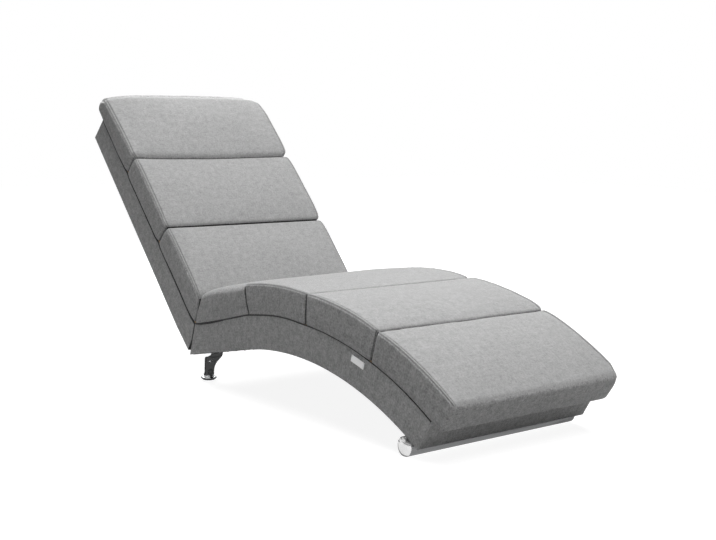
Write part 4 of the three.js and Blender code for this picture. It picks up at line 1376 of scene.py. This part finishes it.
def side_label_cloth():
    """A small bare white label, its two ends turned under and sewn to the box."""
    along = stations(733, 783, 3, (0, 0.8, 2, 4))
    s, h = np.meshgrid(along, stations(-32, -15, 2.2, (0, 0.6, 1.5)), indexing="ij")
    near = np.minimum(s - along[0], along[-1] - s)
    rise = 0.9 + 0.35 * eased(near, 1, 9) + 0.25 * ripples(s / 9, h / 9, 71)
    rise -= 0.35 * band(near, 3.2, 0.9)
    x, z = seat_point(s, h + 3)
    places = np.stack([s, h], -1).reshape(-1, 2)
    quads = grid_quads(np.arange(s.size).reshape(s.shape))
    out = -HALF_WIDTH - rise - 0.4
    label = thin_cloth("bare_side_label", (x, out, z), places, quads, 0.0006)
    finish_piece(label, LABEL_CLOTH, "label", "side_label")
    level = np.linspace(-30.5, -16.5, 12) + 3
    rows = [on_seat(place, -HALF_WIDTH - 1.25, level) for place in (736.2, 779.8)]
    sewn_rows("label_stitching", rows, 0.0028, 0.0020, 0.0006, THREAD)


# ---------------------------------------------------------------- assembly


def dress_frame():
    """The frame's own parts keep their shapes and get their finishes."""
    for name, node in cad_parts.items():
        if any(word in name for word in ("side_left", "side_right", "rail", "board", "deck")):
            finish = WOOD
        elif "saddle" in name:
            finish = CHROME
        else:
            finish = STEEL
        node.data.materials.clear()
        node.data.materials.append(finish)


def add_cushions():
    for (cushion, piece, rows), node in zip(make_cushions(), numbered("cushion")):
        finish_piece(piece, CUSHION_LINEN, "cushion_cloth", node)
        name = cushion.name + "_stitching"
        sewn_rows(name, rows, 0.0058, 0.0042, 0.0009, THREAD)


# Each lamp's name, place, the point it faces, its width and its power.
LAMPS = (
    ("overhead", (-0.3, 0.5, 3.0), (0.1, 0, 0.3), 2.6, 44),
    ("over_the_toe", (1.6, -0.5, 2.8), (0.3, 0, 0.3), 2.0, 61),
    ("near_side", (2.6, -3.0, 1.6), (0.2, 0, 0.3), 2.4, 2.0),
    ("behind", (-2.6, 0.9, 2.2), (0, 0, 0.3), 2.2, 114),
    ("front", (3.2, 1.6, 1.0), (0.3, 0, 0.3), 2.2, 4),
)
SURROUND = 0.02
# Cards for the chrome to mirror: on the floor, patches of painted shadow where the object shades the floor,
# each with its darkest and lightest glow, and standing dark flags, each from one place to another and between
# two heights.
FLOOR_CARDS = (
    ("shade_under_seat", (-0.32, -0.35, 0.50, 0.9), 0.01, 0.12),
    ("shade_at_front", (0.50, -0.276, 1.7, 1.6), 0.16, 0.28),
    ("shade_beside_cap", (0.15, -0.95, 1.1, -0.52), 0.04, 0.12),
)
STANDING_CARDS = (
    ("dark_flag_behind", (-1.9, -0.2), (-1.5, -1.5), 0.01, 1.6),
    ("dark_flag_beside", (-0.9, -2.3), (0.4, -2.7), 0.01, 1.6),
    ("dark_flag_between", (-1.5, -1.5), (-0.9, -2.3), 0.35, 0.62),
)


def for_camera(tree):
    """One where the camera, a mirror or a clear thing looks; the surround is plain white there."""
    rays = put(tree, "ShaderNodeLightPath").outputs
    shiny = maths(tree, "MAXIMUM", rays["Is Glossy Ray"], rays["Is Transmission Ray"])
    return maths(tree, "MAXIMUM", rays["Is Camera Ray"], shiny)


def card(name, points, finish):
    """A four-cornered sheet of the studio, from corners in metres."""
    made = mesh_piece(name, np.array(points) * 1000, [(0, 1, 2, 3)])
    made.data.materials.append(finish)
    return made


def lying(x0, y0, x1, y1, height):
    return [(x0, y0, height), (x1, y0, height), (x1, y1, height), (x0, y1, height)]


def mirror_card(name, points, low, high):
    """A card that only shiny metal sees, glowing faintly in streaks: a dark flag as a photographer puts beside
    chrome, or a patch of painted shadow on the floor.
    """
    shade, tree, shader = material(name)
    stripes = speckle(tree, scaled(tree, here(tree), (30, 1, 1)), 1.0, 3.0)
    tree.links.new(between(tree, stripes, 0.3, 0.7, low, high), shader.inputs["Emission Strength"])
    feed(shader, Roughness=1.0, Specular_IOR_Level=0.0)
    feed(shader, Base_Color=grey(0.0), Emission_Color=grey(1.0))
    made = card(name, points, shade)
    made.visible_camera = made.visible_diffuse = made.visible_shadow = False
    made.visible_transmission = False


def studio():
    """A pale floor, soft lamps and a white surround for the camera and the metal."""
    scene = bpy.context.scene
    world = scene.world = bpy.data.worlds.new("studio")
    world.use_nodes = True
    tree = world.node_tree
    surround = tree.nodes["Background"]
    level = between(tree, for_camera(tree), 0, 1, SURROUND, 1.0)
    tree.links.new(level, surround.inputs["Strength"])
    feed(surround, Color=grey(1.0))
    made, tree, shader = material("pale floor")
    seen = for_camera(tree)
    tree.links.new(blended(tree, seen, grey(0.5), grey(0.3)), shader.inputs["Base Color"])
    place = {0: here(tree)}
    reach = put(tree, "ShaderNodeVectorMath", place, operation="LENGTH").outputs["Value"]
    glow = maths(tree, "MULTIPLY", seen, between(tree, reach, 1.2, 3.0, 0.90, 1.0))
    tree.links.new(glow, shader.inputs["Emission Strength"])
    feed(shader, Emission_Color=grey(1.0), Roughness=0.9, Specular_IOR_Level=0.0)
    card("floor", lying(-9, -9, 9, 9, 0), made)
    for name, corners, low, high in FLOOR_CARDS:
        mirror_card(name, lying(*corners, 0.0015), low, high)
    for name, start, end, low, high in STANDING_CARDS:
        points = [(*start, low), (*end, low), (*end, high), (*start, high)]
        mirror_card(name, points, 0.02, 0.10)
    for name, at, to, size, power in LAMPS:
        data = bpy.data.lights.new(name, "AREA")
        data.shape, data.size, data.energy = "DISK", size, power
        lamp = bpy.data.objects.new(name, data)
        scene.collection.objects.link(lamp)
        lamp.location = at
        lamp.rotation_mode = "QUATERNION"
        lamp.rotation_quaternion = (Vector(to) - Vector(at)).to_track_quat("-Z", "Y")
    scene.view_settings.view_transform = "Standard"


dress_frame()
fold_fixings()
rear_legs()
disc_feet()
front_foot()
foam_blocks()
seat_box_cloth()
back_box_cloth()
dust_cloth()
side_label_cloth()
add_cushions()
studio()
